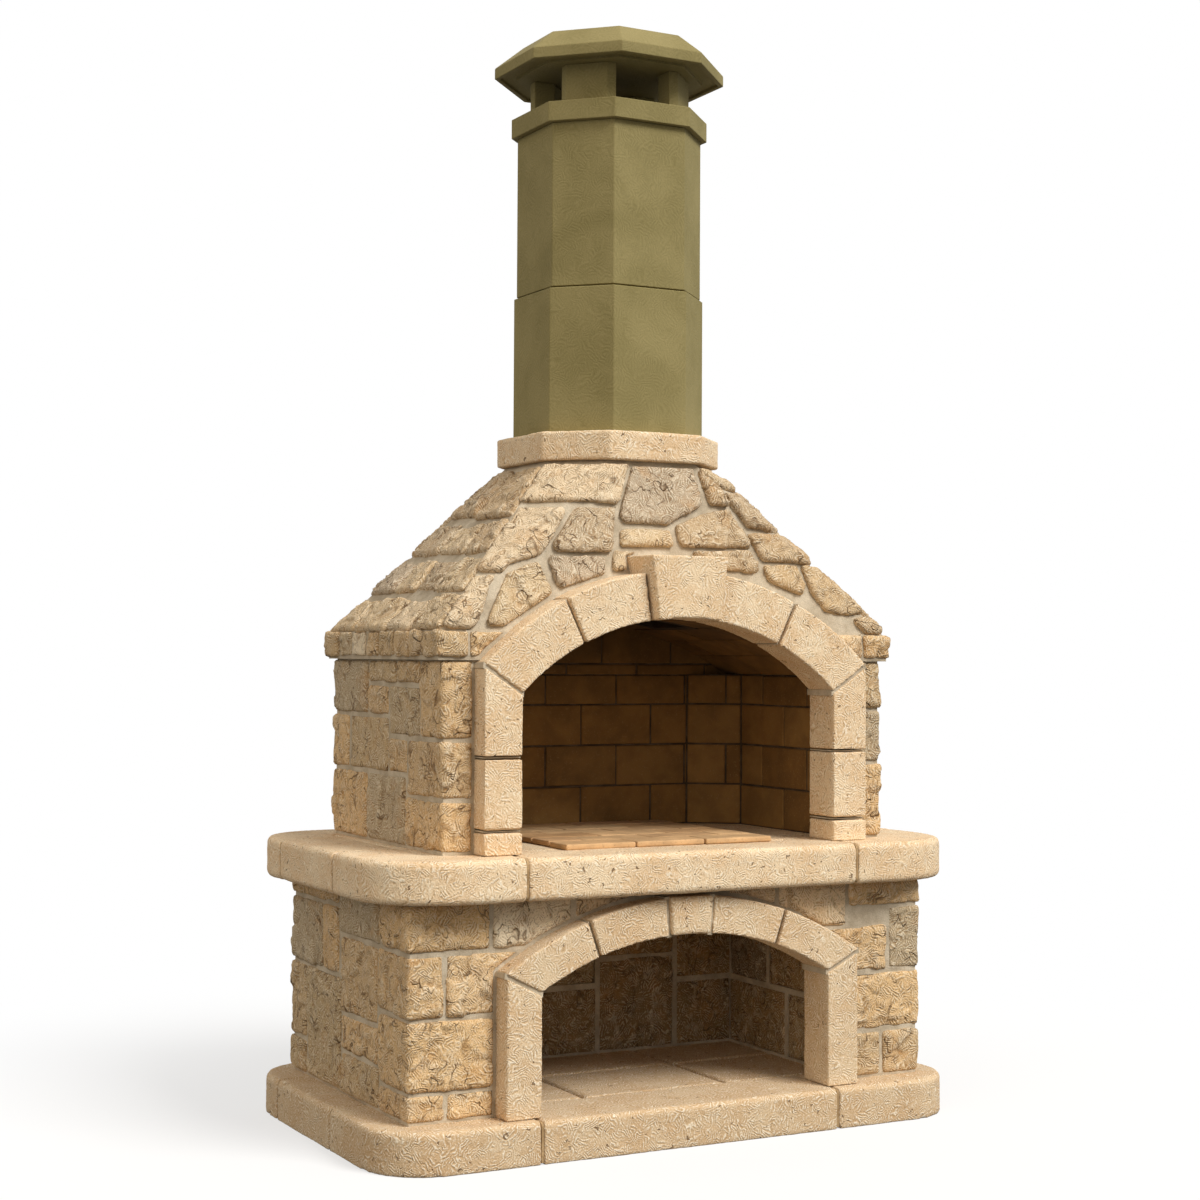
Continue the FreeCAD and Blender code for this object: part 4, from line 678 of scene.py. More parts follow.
class Recipe:
    """A material in the making: its node tree, the place on the object in metres, and steps that repeat."""

    FINER = 0.55                # how much of a noise its finer features make up

    def __init__(self, name: str, roughness: float, specular: float) -> None:
        """Starts a material with a plain shader.

        Args:
            name: Name of the real material.
            roughness: Roughness of its surface.
            specular: Level of its sheen, 0.5 being that of the shader's IOR.
        """
        self.material = bpy.data.materials.new(name)
        self.material.use_nodes = True
        self.tree = self.material.node_tree
        self.shader = self.tree.nodes["Principled BSDF"]
        self.shader.inputs["Roughness"].default_value = roughness
        self.shader.inputs["Specular IOR Level"].default_value = specular
        self.place = add_node(self.tree, "TexCoord", out="Object")

    def features(self, size: float, detail: float = 3.0, distortion: float = 0.0) -> dict:
        """Inputs of a noise with features of a size in mm."""
        return {"Vector": self.place, "Scale": per_metre(size), "Detail": detail, "Distortion": distortion,
                "Roughness": self.FINER}

    def toned(self, palette: tuple[str, ...]) -> Socket:
        """The colour of each stone or brick, by the tone that its mesh carries.

        Args:
            palette: Colours from tone 0 to tone 1, spread evenly.

        Returns:
            The colour.
        """
        tone = add_node(self.tree, "Attribute", out="Fac", attribute_name="tone")
        colour = add_node(self.tree, "ValToRGB", {"Fac": tone})
        stops = colour.node.color_ramp.elements
        while len(stops) < len(palette):
            stops.new(0.5)
        for index, shade in enumerate(palette):
            stops[index].position = index / (len(palette) - 1)
            stops[index].color = linear(shade)
        return colour

    def tinted(self, colour: Socket | tuple, tint: str, value: Socket, *limits: float) -> Socket:
        """Brings a second colour in where a value is high or low.

        Args:
            colour: The first colour.
            tint: The second colour.
            value: What says where it comes in.
            limits: A low and a high value, and the share of the second colour at each.

        Returns:
            The new colour.
        """
        share = add_node(self.tree, "MapRange", between(value, *limits), **EASED)
        inputs = {SHARE: share, FIRST: colour, SECOND: linear(tint)}
        return add_node(self.tree, "Mix", inputs, MIXED, **COLOURS)

    def shaded(self, colour: Socket, value: Socket, *limits: float) -> Socket:
        """Makes a colour darker or lighter by a value.

        Args:
            colour: The colour.
            value: What says how light it is.
            limits: A low and a high value, and the lightness at each.

        Returns:
            The new colour.
        """
        shade = add_node(self.tree, "MapRange", between(value, *limits), **EASED)
        inputs = {SHARE: 1.0, FIRST: colour, SECOND: shade}
        return add_node(self.tree, "Mix", inputs, MIXED, blend_type="MULTIPLY", **COLOURS)

    def strokes(self, spacing: float, run: float) -> Socket:
        """Short tool strokes side by side, in patches that lie every way, from 0 between them to 1.

        Args:
            spacing: Distance from stroke to stroke in mm.
            run: Length of a stroke in mm.

        Returns:
            The value, about 0.5 on the whole.
        """
        tree = self.tree
        inputs = {"Vector": self.place, "Scale": per_metre(1.5 * run), "Detail": 1.0}
        bend = add_node(tree, "TexNoise", inputs, "Color")
        inputs = {0: bend, 1: (run * MM,) * 3, 2: self.place}
        bent = add_node(tree, "VectorMath", inputs, operation="MULTIPLY_ADD")
        inputs = {"Vector": bent, "Scale": per_metre(run)}
        patch = add_node(tree, "TexVoronoi", inputs, "Color", feature="F1")
        way = add_node(tree, "VectorMath", {0: patch, 1: (0.5,) * 3}, operation="SUBTRACT")
        way = add_node(tree, "VectorMath", {0: way}, operation="NORMALIZE")
        along = add_node(tree, "VectorMath", {0: bent, 1: way}, "Value", operation="DOT_PRODUCT")
        turns = add_node(tree, "Math", {0: along, 1: math.tau * per_metre(spacing)}, operation="MULTIPLY")
        wave = add_node(tree, "Math", {0: turns}, operation="SINE")
        depth = add_node(tree, "TexNoise", self.features(run, 2.0))
        depth = add_node(tree, "MapRange", between(depth, 0.38, 0.62, 0.14, 0.5), **EASED)
        return add_node(tree, "Math", {0: wave, 1: depth, 2: 0.5}, operation="MULTIPLY_ADD")

    def tooled(self, spacing: float, run: float, grain: float) -> Socket:
        """Tool strokes and the grain of the stone together.

        Args:
            spacing: Distance from stroke to stroke in mm.
            run: Length of a stroke in mm.
            grain: Size of the grain in mm.

        Returns:
            The value, about 0.75 on the whole.
        """
        grains = add_node(self.tree, "TexNoise", self.features(grain))
        inputs = {0: self.strokes(spacing, run), 1: 0.5, 2: grains}
        return add_node(self.tree, "Math", inputs, operation="MULTIPLY_ADD")

    def cracks(self, size: float, width: float, high: float, dark: float) -> tuple[Socket, Socket]:
        """Broken ledges that run across a stone here and there, with painted shade along each step.

        Args:
            size: Size of the flakes between the ledges in mm.
            width: Width of the painted shade along a ledge, as a share of the swing of the noise.
            high: Height of the step.
            dark: Share of the painted shade.

        Returns:
            The step in height, and the painted shade along it.
        """
        tree = self.tree
        field = add_node(tree, "TexNoise", self.features(size, 2.0, 0.8))
        step = add_node(tree, "MapRange", between(field, 0.5, 0.5 + width, 0.0, high), **EASED)
        off = add_node(tree, "Math", {0: field, 1: 0.5 + width / 2}, operation="SUBTRACT")
        off = add_node(tree, "Math", {0: off}, operation="ABSOLUTE")
        line = add_node(tree, "MapRange", between(off, 0.0, width, dark, 0.0), **EASED)
        here = add_node(tree, "TexNoise", self.features(size * 0.8, 1.0))
        here = add_node(tree, "MapRange", between(here, 0.42, 0.56, 0.0, 1.0), **EASED)
        step, line = (add_node(tree, "Math", {0: v, 1: here}, operation="MULTIPLY") for v in (step, line))
        return step, line

    def pits(self, spacing: float, radius: float) -> Socket:
        """Small round pits, 1 in a pit and 0 outside.

        Args:
            spacing: Distance between pits in mm.
            radius: Radius of the larger pits in mm.

        Returns:
            The value.
        """
        tree = self.tree
        inputs = {"Vector": self.place, "Scale": per_metre(spacing)}
        away = add_node(tree, "TexVoronoi", inputs, "Distance", feature="F1")
        chance = add_node(tree, "SeparateColor", {"Color": away.node.outputs["Color"]})
        reach = add_node(tree, "MapRange", between(chance, 0.45, 1.0, 0.0, radius / spacing), **EASED)
        edge = add_node(tree, "Math", {0: reach, 1: away}, operation="SUBTRACT")
        return add_node(tree, "MapRange", between(edge, 0.0, 0.03, 0.0, 1.0), **EASED)

    def finish(self, colour: Socket, height: Socket, depth: float, strength: float) -> Material:
        """Joins colour and relief to the shader.

        Args:
            colour: The colour.
            height: Height of the fine relief.
            depth: What a height of 1 stands for, in mm.
            strength: Strength of the relief.

        Returns:
            The material.
        """
        self.tree.links.new(colour, self.shader.inputs["Base Color"])
        inputs = {"Height": height, "Distance": depth * MM, "Strength": strength}
        self.tree.links.new(add_node(self.tree, "Bump", inputs), self.shader.inputs["Normal"])
        return self.material


@dataclass(frozen=True)
class SplitLimestone:
    """Limestone split by hammer and chisel: matt, each stone near one colour, with strokes and ledges,
    painted shade in hollows, in the troughs of the strokes and along the ledges, and painted highlights on
    ridges and on the crests of the strokes.
    """

    name: str = "split_limestone"
    palette: tuple[str, ...] = ("#B9A585", "#C0A67E", "#D1B083", "#DDB885", "#E8CAA0", "#EFDBB9")
    stain: str = "#BC8A4E"
    # Pale patches of the stone, also used as painted highlight on ridges and stroke crests.
    bleached_and_highlight: str = "#EBDCC0"
    # Painted shade in hollows and along ledge steps.
    shade_brown: str = "#6E4F2D"
    # Painted shade in the troughs of the strokes.
    groove_shade: str = "#8E683A"
    stain_size: float = 85.0    # sizes are in mm
    bleached_size: float = 42.5
    ledge_size: float = 75.0
    grain: float = 4.0          # real grain is under 1 mm, drawn coarser so that it shows
    stroke: float = 5.8         # real strokes are 5 mm apart, drawn coarser so that they show
    stroke_run: float = 22.0

    def material(self) -> Material:
        """Makes the material.

        Returns:
            The material.
        """
        mix = Recipe(self.name, 0.92, 0.25)
        colour = mix.toned(self.palette)
        stains = add_node(mix.tree, "TexNoise", mix.features(self.stain_size, 4.0, 0.6))
        colour = mix.tinted(colour, self.stain, stains, 0.52, 0.72, 0.0, 0.45)
        pale = add_node(mix.tree, "TexNoise", mix.features(self.bleached_size))
        colour = mix.tinted(colour, self.bleached_and_highlight, pale, 0.52, 0.75, 0.0, 0.3)
        relief = add_node(mix.tree, "Attribute", out="Fac", attribute_name="relief")
        # Painted shade in the hollows of the worked face, and painted highlight on its ridges.
        colour = mix.tinted(colour, self.shade_brown, relief, -2.2, -0.5, 0.34, 0.0)
        colour = mix.tinted(colour, self.bleached_and_highlight, relief, 0.6, 2.2, 0.0, 0.3)
        fine = mix.tooled(self.stroke, self.stroke_run, self.grain)
        # Painted shade in the troughs of the tool strokes, and painted highlight on their crests.
        colour = mix.tinted(colour, self.groove_shade, fine, 0.42, 0.76, 0.66, 0.0)
        colour = mix.tinted(colour, self.bleached_and_highlight, fine, 0.78, 1.0, 0.0, 0.6)
        # Painted shade along the step of each ledge.
        step, line = mix.cracks(self.ledge_size, 0.022, 1.6, 0.68)
        inputs = {SHARE: line, FIRST: colour, SECOND: linear(self.shade_brown)}
        colour = add_node(mix.tree, "Mix", inputs, MIXED, **COLOURS)
        height = add_node(mix.tree, "Math", {0: fine, 1: step}, operation="ADD")
        return mix.finish(colour, height, 3.6, 1.0)


@dataclass(frozen=True)
class BushHammeredStone:
    """Reconstituted stone, cast and bush hammered: buff and cream, matt, with strokes and air holes,
    painted shade in the troughs of the strokes, in the holes and on the parts that stand in less light, and
    painted highlights on the crests of the strokes.
    """

    name: str = "bush_hammered_cast_stone"
    buff: str = "#DEBD93"
    cream: str = "#E9CFA9"
    # The next two colours: painted shade in the troughs of the strokes and painted highlight on their
    # crests.
    groove_shade: str = "#A98354"
    ridge_highlight: str = "#F6EBD4"
    # Painted shade in the air holes.
    hole_shade: str = "#6B4C2B"
    # Painted shade: a darker brown over the parts that stand in less light, in the share each part carries.
    painted_shade: str = "#8A663A"
    cloud_size: float = 95.0    # sizes are in mm
    grain: float = 4.5          # real grain is under 1 mm, drawn coarser so that it shows
    stroke: float = 5.8         # real strokes are 5 mm apart, drawn coarser so that they show
    stroke_run: float = 20.0
    hole_size: float = 13.0

    def material(self) -> Material:
        """Makes the material, which takes the tone of a stone as its share of painted shade.

        Returns:
            The material.
        """
        mix = Recipe(self.name, 0.9, 0.25)
        clouds = add_node(mix.tree, "TexNoise", mix.features(self.cloud_size, 4.0))
        colour = mix.tinted(linear(self.buff), self.cream, clouds, 0.34, 0.66, 0.0, 1.0)
        # Painted shade: a darker brown, by the share that each stone carries as its tone.
        shade_share = add_node(mix.tree, "Attribute", out="Fac", attribute_name="tone")
        inputs = {SHARE: shade_share, FIRST: colour, SECOND: linear(self.painted_shade)}
        colour = add_node(mix.tree, "Mix", inputs, MIXED, **COLOURS)
        fine = mix.tooled(self.stroke, self.stroke_run, self.grain)
        # Painted shade in the troughs of the tool strokes, and painted highlight on their crests.
        colour = mix.tinted(colour, self.groove_shade, fine, 0.4, 0.75, 0.58, 0.0)
        colour = mix.tinted(colour, self.ridge_highlight, fine, 0.76, 1.05, 0.0, 0.7)
        # Painted shade in the air holes.
        holes = add_node(mix.tree, "TexNoise", mix.features(self.hole_size, 1.5, 0.6))
        colour = mix.tinted(colour, self.hole_shade, holes, 0.69, 0.74, 0.0, 0.75)
        sunk = add_node(mix.tree, "MapRange", between(holes, 0.69, 0.74, 0.0, 1.5), **EASED)
        height = add_node(mix.tree, "Math", {0: fine, 1: sunk}, operation="SUBTRACT")
        return mix.finish(colour, height, 2.6, 0.8)


@dataclass(frozen=True)
class LimeMortar:
    """Sand and lime mortar, struck a little below the stones: grey-buff, sandy and matt."""

    name: str
    pale: str
    dark: str
    cloud_size: float = 60.0    # sizes are in mm
    lump_size: float = 22.0
    sand: float = 3.0           # sharp sand is 1 to 3 mm

    def material(self) -> Material:
        """Makes the material.

        Returns:
            The material.
        """
        mix = Recipe(self.name, 0.95, 0.2)
        clouds = add_node(mix.tree, "TexNoise", mix.features(self.cloud_size, 4.0))
        colour = mix.tinted(linear(self.dark), self.pale, clouds, 0.35, 0.68, 0.0, 1.0)
        sand = add_node(mix.tree, "TexNoise", mix.features(self.sand, 2.0))
        colour = mix.shaded(colour, sand, 0.3, 0.7, 0.88, 1.08)
        lumps = add_node(mix.tree, "TexNoise", mix.features(self.lump_size, 2.0))
        height = add_node(mix.tree, "Math", {0: lumps, 1: 3.0, 2: sand}, operation="MULTIPLY_ADD")
        return mix.finish(colour, height, 1.8, 0.6)


@dataclass(frozen=True)
class FiredClay:
    """Pressed, fired clay: brown to buff by the brick, with specks, and soot where fire has been."""

    name: str
    palette: tuple[str, ...]
    speck: str
    soot: str
    soot_from: float            # height in mm where soot starts
    soot_full: float            # height in mm where it is thickest
    soot_share: float
    soot_size: float = 130.0    # sizes are in mm
    cloud_size: float = 70.0
    speck_size: float = 5.0
    dent_size: float = 25.0
    grit_size: float = 3.5

    def material(self) -> Material:
        """Makes the material.

        Returns:
            The material.
        """
        mix = Recipe(self.name, 0.88, 0.3)
        colour = mix.toned(self.palette)
        clouds = add_node(mix.tree, "TexNoise", mix.features(self.cloud_size, 4.0, 0.3))
        colour = mix.shaded(colour, clouds, 0.3, 0.7, 0.8, 1.14)
        specks = add_node(mix.tree, "TexNoise", mix.features(self.speck_size, 2.0))
        colour = mix.tinted(colour, self.speck, specks, 0.6, 0.7, 0.0, 0.45)
        up = add_node(mix.tree, "SeparateXYZ", {"Vector": mix.place}, "Z")
        inputs = between(up, self.soot_from * MM, self.soot_full * MM, 0.0, self.soot_share)
        rise = add_node(mix.tree, "MapRange", inputs, **EASED)
        patches = add_node(mix.tree, "TexNoise", mix.features(self.soot_size, 4.0))
        patches = add_node(mix.tree, "MapRange", between(patches, 0.25, 0.75, 0.5, 1.0), **EASED)
        sooty = add_node(mix.tree, "Math", {0: rise, 1: patches}, operation="MULTIPLY")
        inputs = {SHARE: sooty, FIRST: colour, SECOND: linear(self.soot)}
        colour = add_node(mix.tree, "Mix", inputs, MIXED, **COLOURS)
        grit, dents = (add_node(mix.tree, "TexNoise", mix.features(size, 2.0))
                       for size in (self.grit_size, self.dent_size))
        height = add_node(mix.tree, "Math", {0: grit, 1: dents}, operation="ADD")
        return mix.finish(colour, height, 0.9, 0.5)


@dataclass(frozen=True)
class TrowelledRender:
    """Cement render with an olive pigment, trowelled: matt, faintly clouded, with fine trowel marks."""

    name: str = "olive_cement_render"
    dark: str = "#7B6F42"
    pale: str = "#8B7E50"
    dust: str = "#A89A6A"
    cloud_size: float = 160.0   # sizes are in mm
    grain: float = 4.0          # real sand is about 1 mm, drawn coarser so that it shows
    mark: float = 7.5           # real marks are 5 mm apart, drawn coarser so that they show
    mark_run: float = 26.0

    def material(self) -> Material:
        """Makes the material.

        Returns:
            The material.
        """
        mix = Recipe(self.name, 0.85, 0.3)
        clouds = add_node(mix.tree, "TexNoise", mix.features(self.cloud_size, 5.0, 0.3))
        colour = mix.tinted(linear(self.dark), self.pale, clouds, 0.3, 0.7, 0.0, 1.0)
        marks = mix.strokes(self.mark, self.mark_run)
        dust_and_shade = add_node(mix.tree, "Math", {0: marks, 1: 0.22}, operation="MULTIPLY")
        inputs = {SHARE: dust_and_shade, FIRST: colour, SECOND: linear(self.dust)}
        colour = add_node(mix.tree, "Mix", inputs, MIXED, **COLOURS)
        grain = add_node(mix.tree, "TexNoise", mix.features(self.grain))
        colour = mix.shaded(colour, grain, 0.3, 0.7, 0.93, 1.06)
        height = add_node(mix.tree, "Math", {0: marks, 1: 0.5, 2: grain}, operation="MULTIPLY_ADD")
        return mix.finish(colour, height, 0.9, 0.5)


@dataclass(frozen=True)
class Concrete:
    """Plain cast concrete or board behind the faces: grey, cloudy, with small holes, painted darker as
    shade.
    """

    name: str
    dark: str
    pale: str
    cloud_size: float = 120.0   # sizes are in mm
    grain: float = 4.0
    hole_spacing: float = 28.0
    hole_radius: float = 3.0

    def material(self) -> Material:
        """Makes the material.

        Returns:
            The material.
        """
        mix = Recipe(self.name, 0.95, 0.2)
        clouds = add_node(mix.tree, "TexNoise", mix.features(self.cloud_size, 5.0))
        colour = mix.tinted(linear(self.dark), self.pale, clouds, 0.3, 0.7, 0.0, 1.0)
        holes = mix.pits(self.hole_spacing, self.hole_radius)
        # Painted shade in the holes.
        share = add_node(mix.tree, "Math", {0: holes, 1: 0.5}, operation="MULTIPLY")
        inputs = {SHARE: share, FIRST: colour, SECOND: linear(self.dark)}
        colour = add_node(mix.tree, "Mix", inputs, MIXED, **COLOURS)
        grain = add_node(mix.tree, "TexNoise", mix.features(self.grain, 2.0))
        height = add_node(mix.tree, "Math", {0: grain, 1: holes}, operation="SUBTRACT")
        return mix.finish(colour, height, 1.2, 0.5)


# A paler copy of the split limestone for the hood: painted light, as the hood's sloping faces take more
# light from above.
LIT_LIMESTONE = SplitLimestone("lit_limestone",
                           ("#BCA88D", "#BEA685", "#C5A983", "#C9AB81", "#D0B68F", "#DAC19D"))
# A darker copy of the split limestone for the log store lining: painted shade, as the inside of the store
# gets little light.
SHADED_LINING = SplitLimestone("shaded_limestone",
                       ("#86725A", "#8A7454", "#967A52", "#9C7C4C", "#A3885F", "#AD9672"))
WALL_MORTAR = LimeMortar("lime_mortar", "#C8B9A0", "#B0A087")
JOINT_MORTAR = LimeMortar("buff_joint_mortar", "#B99B72", "#9C7F58")
FIRE_CEMENT = LimeMortar("fire_cement", "#6B5A45", "#4C3D2C")
FIREBRICK = FiredClay("firebrick", ("#7C5A2E", "#8C6634", "#96703C", "#866436"), "#A9875A", "#2A1E10",
                      1050.0, 1330.0, 0.8)
CLAY_PAVER = FiredClay("clay_paver", ("#AE8558", "#C39A6C", "#CFA97A", "#B48A60"), "#8A6646", "#4A3524",
                       740.0, 760.0, 0.12)
CAST_CONCRETE = Concrete("cast_concrete", "#8C8880", "#A8A49A")
SOOTED_CONCRETE = Concrete("sooted_concrete", "#2B231B", "#43372B")
INSULATION = Concrete("insulation_board", "#B4AE9E", "#CCC6B6")


class Finishes:
    """Every material of the object, made once."""

    def __init__(self) -> None:
        """Makes the materials."""
        self.split = SplitLimestone().material()
        self.lit_stone = LIT_LIMESTONE.material()
        self.dust_and_shade = SHADED_LINING.material()
        self.dressed = BushHammeredStone().material()
        self.mortar = WALL_MORTAR.material()
        self.joint_mortar = JOINT_MORTAR.material()
        self.fire_cement = FIRE_CEMENT.material()
        self.firebrick = FIREBRICK.material()
        self.paver = CLAY_PAVER.material()
        self.render = TrowelledRender().material()
        self.concrete = CAST_CONCRETE.material()
        self.sooted = SOOTED_CONCRETE.material()
        self.insulation = INSULATION.material()


def dress_nodes(nodes: list[str], material: Material) -> None:
    """Gives CAD nodes that stay in view a finish.

    Args:
        nodes: Names of the nodes.
        material: Their finish.
    """
    for name in nodes:
        for place in frame["nodes"][name].material_slots:
            place.material = material
        LOG.info("%s: kept, %s", name, material.name)


# Sub-assemblies

DRAWN_STONES = 24               # tones that are drawn for a node whose stones aren't listed
HUE_MIDDLE = 0.48               # mean of drawn tones
HUE_SPREAD = 0.24               # their standard deviation
HUE_DRIFT = 0.05                # how far a stone lies off its hue, as a standard deviation

# Stone colours by node, for the stones that show from the front, in their order in the node.
GREY, TAUPE, TAN, OCHRE, SAND, CREAM = Hue
HUES = {
    "upper_facing_left": (GREY, TAUPE, TAN, TAN, TAUPE, TAUPE, TAN, OCHRE, TAN, TAN, OCHRE, OCHRE, GREY),
    "lower_facing_left": (TAUPE, OCHRE, GREY, TAN, OCHRE, TAUPE, TAN, OCHRE, TAN, OCHRE, TAUPE, TAN, GREY,
                          OCHRE),
    "lower_facing_front": (OCHRE, OCHRE, CREAM, SAND, TAN, OCHRE, SAND, SAND),
    "lower_facing_right": (TAN, TAUPE, OCHRE, TAN, GREY, OCHRE, OCHRE, GREY, OCHRE, TAN, TAN, TAUPE, OCHRE,
                           TAN),
    "hood_facing_front": (GREY, TAN, TAUPE, SAND, TAN, GREY, SAND, SAND, TAN, OCHRE, CREAM, CREAM, CREAM,
                          TAN, OCHRE, TAN, TAUPE, SAND),
    "hood_facing_left": (SAND, SAND, CREAM, SAND, GREY, SAND, TAUPE, SAND, TAUPE, SAND, TAN, TAUPE, TAN,
                         TAN, GREY, TAUPE, TAUPE),
}


def stone_tones(node: str) -> list[float]:
    """Tones of a node's stones: its listed hues, or drawn ones, each a little off.

    Args:
        node: Name of the CAD node.

    Returns:
        Places along the palette.
    """
    draw = np.random.default_rng(seed_of(node, 7))
    if node in HUES:
        middle = [hue.value for hue in HUES[node]]
    else:
        middle = draw.normal(HUE_MIDDLE, HUE_SPREAD, DRAWN_STONES)
    drift = draw.normal(0.0, HUE_DRIFT, len(middle))
    return [float(tone) for tone in np.clip(np.array(middle) + drift, 0.0, 1.0)]


@dataclass
class RingCourse:
    """A ring of eight dressed stones: the plinth or the ledge."""

    name: str
    shade_share: float               # share of painted shade on the stones, more on the lower parts
    face: TooledFace = TooledFace(wear=3)
    places: tuple[str, ...] = ("front_stone", "front_left_corner", "front_right_corner", "left_stone",
                               "right_stone", "rear_left_corner", "rear_right_corner", "rear_stone")

    def build(self, banker: Banker, finishes: Finishes) -> None:
        """Works and sets the stones.

        Args:
            banker: The bench.
            finishes: The materials.
        """
        for place in self.places:
            node = f"{self.name}_{place}"
            lay_stones(banker, node, self.face, finishes.dressed, [self.shade_share])


@dataclass
class ArchedFront:
    """Jambs, arch stones and keystone round an opening."""

    name: str
    shade_share: float               # share of painted shade on the stones, more on the lower parts
    face: TooledFace = TooledFace(pitch=5.0, wear=2)
    key_face: TooledFace = TooledFace(pitch=5.0, wear=6)

    def build(self, banker: Banker, finishes: Finishes) -> None:
        """Works and sets the stones.

        Args:
            banker: The bench.
            finishes: The materials.
        """
        for place in ("jamb_left", "jamb_right", "arch_stones", "keystone"):
            node = f"{self.name}_{place}"
            face = self.key_face if place == "keystone" else self.face
            lay_stones(banker, node, face, finishes.dressed, [self.shade_share])


@dataclass
class RubbleWalls:
    """Walls of squared split stone round one storey."""

    name: str
    sides: tuple[str, ...]
    face: SplitFace = SplitFace(gap=1.6)
    pointing: float = 3.5       # mm that the mortar stands nearer to the face
    raked: float = 2.5          # mm that the beds between dressed blocks lie deeper

    def build(self, banker: Banker, finishes: Finishes) -> None:
        """Works and sets the stones, and points up the mortar round them.

        Args:
            banker: The bench.
            finishes: The materials.
        """
        for side in self.sides:
            node = f"{self.name}_facing_{side}"
            lay_stones(banker, node, self.face, finishes.split, stone_tones(node))
        point_up(banker, f"{self.name}_mortar", self.pointing, self.raked, finishes.mortar)


@dataclass
class LogStore:
    """Floor slabs and stone lining of the log store."""

    lining: SplitFace = SplitFace(pitch=8.0, wear=3, swell=3.0, flake_step=6.0, chip_step=3.0)
    floor: TooledFace = TooledFace(pitch=9.0, wear=1, swell=0.8, dint=0.6)
    # share of painted shade on the floor slabs inside the store
    shade_share: float = 0.45

    def build(self, banker: Banker, finishes: Finishes) -> None:
        """Works and sets the lining and the floor.

        Args:
            banker: The bench.
            finishes: The materials.
        """
        node = "log_store_lining_stones"
        # The lining takes the darker copy of the limestone: painted shade.
        lay_stones(banker, node, self.lining, finishes.dust_and_shade, stone_tones(node))
        node = "log_store_floor_slabs"
        lay_stones(banker, node, self.floor, finishes.dressed, [self.shade_share])


@dataclass
class FireChamber:
    """Hearth slab, pavers and firebrick lining."""

    hearth: TooledFace = TooledFace(pitch=9.0, wear=1, swell=0.8, dint=0.6)
    paver_arris: float = 4.5    # mm
    brick_arris: float = 3.2    # mm
    brick_slip: float = 0.8     # mm
    # share of painted shade on the hearth slab
    shade_share: float = 0.0

    def build(self, banker: Banker, finishes: Finishes) -> None:
        """Lays the hearth and the bricks, and dresses their mortar.

        Args:
            banker: The bench.
            finishes: The materials.
        """
        lay_stones(banker, "hearth_slab", self.hearth, finishes.dressed, [self.shade_share])
        lay_bricks(banker, "hearth_pavers", self.paver_arris, self.brick_slip,
                   finishes.paver)
        for place in ("back", "sides", "vault"):
            lay_bricks(banker, f"firebrick_{place}", self.brick_arris, self.brick_slip,
                       finishes.firebrick)
        dress_nodes(["firebrick_mortar"], finishes.fire_cement)
        dress_nodes(["dressed_joint_mortar"], finishes.joint_mortar)


@dataclass
class Hood:
    """Eaves stones and the irregular stones of the hood."""

    face: SplitFace = SplitFace(lean=8.0, crown=5.0, gap=-3.0)
    eaves: SplitFace = SplitFace(flake=60.0, flake_step=7.0, gap=3.0)
    pointing: float = 1.0       # mm that the mortar stands nearer to the face

    def build(self, banker: Banker, finishes: Finishes) -> None:
        """Works and sets the stones, and points up the mortar round them.

        Args:
            banker: The bench.
            finishes: The materials.
        """
        node = "eaves_stones"
        lay_stones(banker, node, self.eaves, finishes.split, stone_tones(node))
        for side in ("front", "left", "right", "rear"):
            node = f"hood_facing_{side}"
            # The hood's stones take the paler copy of the limestone: painted light.
            lay_stones(banker, node, self.face, finishes.lit_stone, stone_tones(node))
        point_up(banker, "hood_mortar", self.pointing, 0.0, finishes.mortar)


@dataclass
class Chimney:
    """Collar, two chimney sections and the cowl."""

    collar: TooledFace = TooledFace(pitch=5.0, wear=2)
    arris: float = 2.5          # mm
    sharp_from: float = 10.0    # degrees, since the slopes of the cap meet at slight angles
    # share of painted shade on the collar
    shade_share: float = 0.05

    def build(self, banker: Banker, finishes: Finishes) -> None:
        """Works and sets the collar, sections and cowl.

        Args:
            banker: The bench.
            finishes: The materials.
        """
        lay_stones(banker, "chimney_collar", self.collar, finishes.dressed, [self.shade_share])
        for node in ("chimney_lower", "chimney_upper", "cowl_band", "cowl_piers", "cowl_cap"):
            lay_bricks(banker, node, self.arris, 0.0, finishes.render, self.sharp_from)


@dataclass
class Backing:
    """What stands behind the faces and keeps its plain shape."""

    concrete: tuple[str, ...] = ("base_infill", "lower_core_blocks")
    sooted: tuple[str, ...] = ("refractory_fill", "throat_frame", "hood_shell")
    boards: tuple[str, ...] = ("insulation_boards",)

    def build(self, finishes: Finishes) -> None:
        """Dresses the nodes.

        Args:
            finishes: The materials.
        """
        dress_nodes(list(self.concrete), finishes.concrete)
        dress_nodes(list(self.sooted), finishes.sooted)
        dress_nodes(list(self.boards), finishes.insulation)


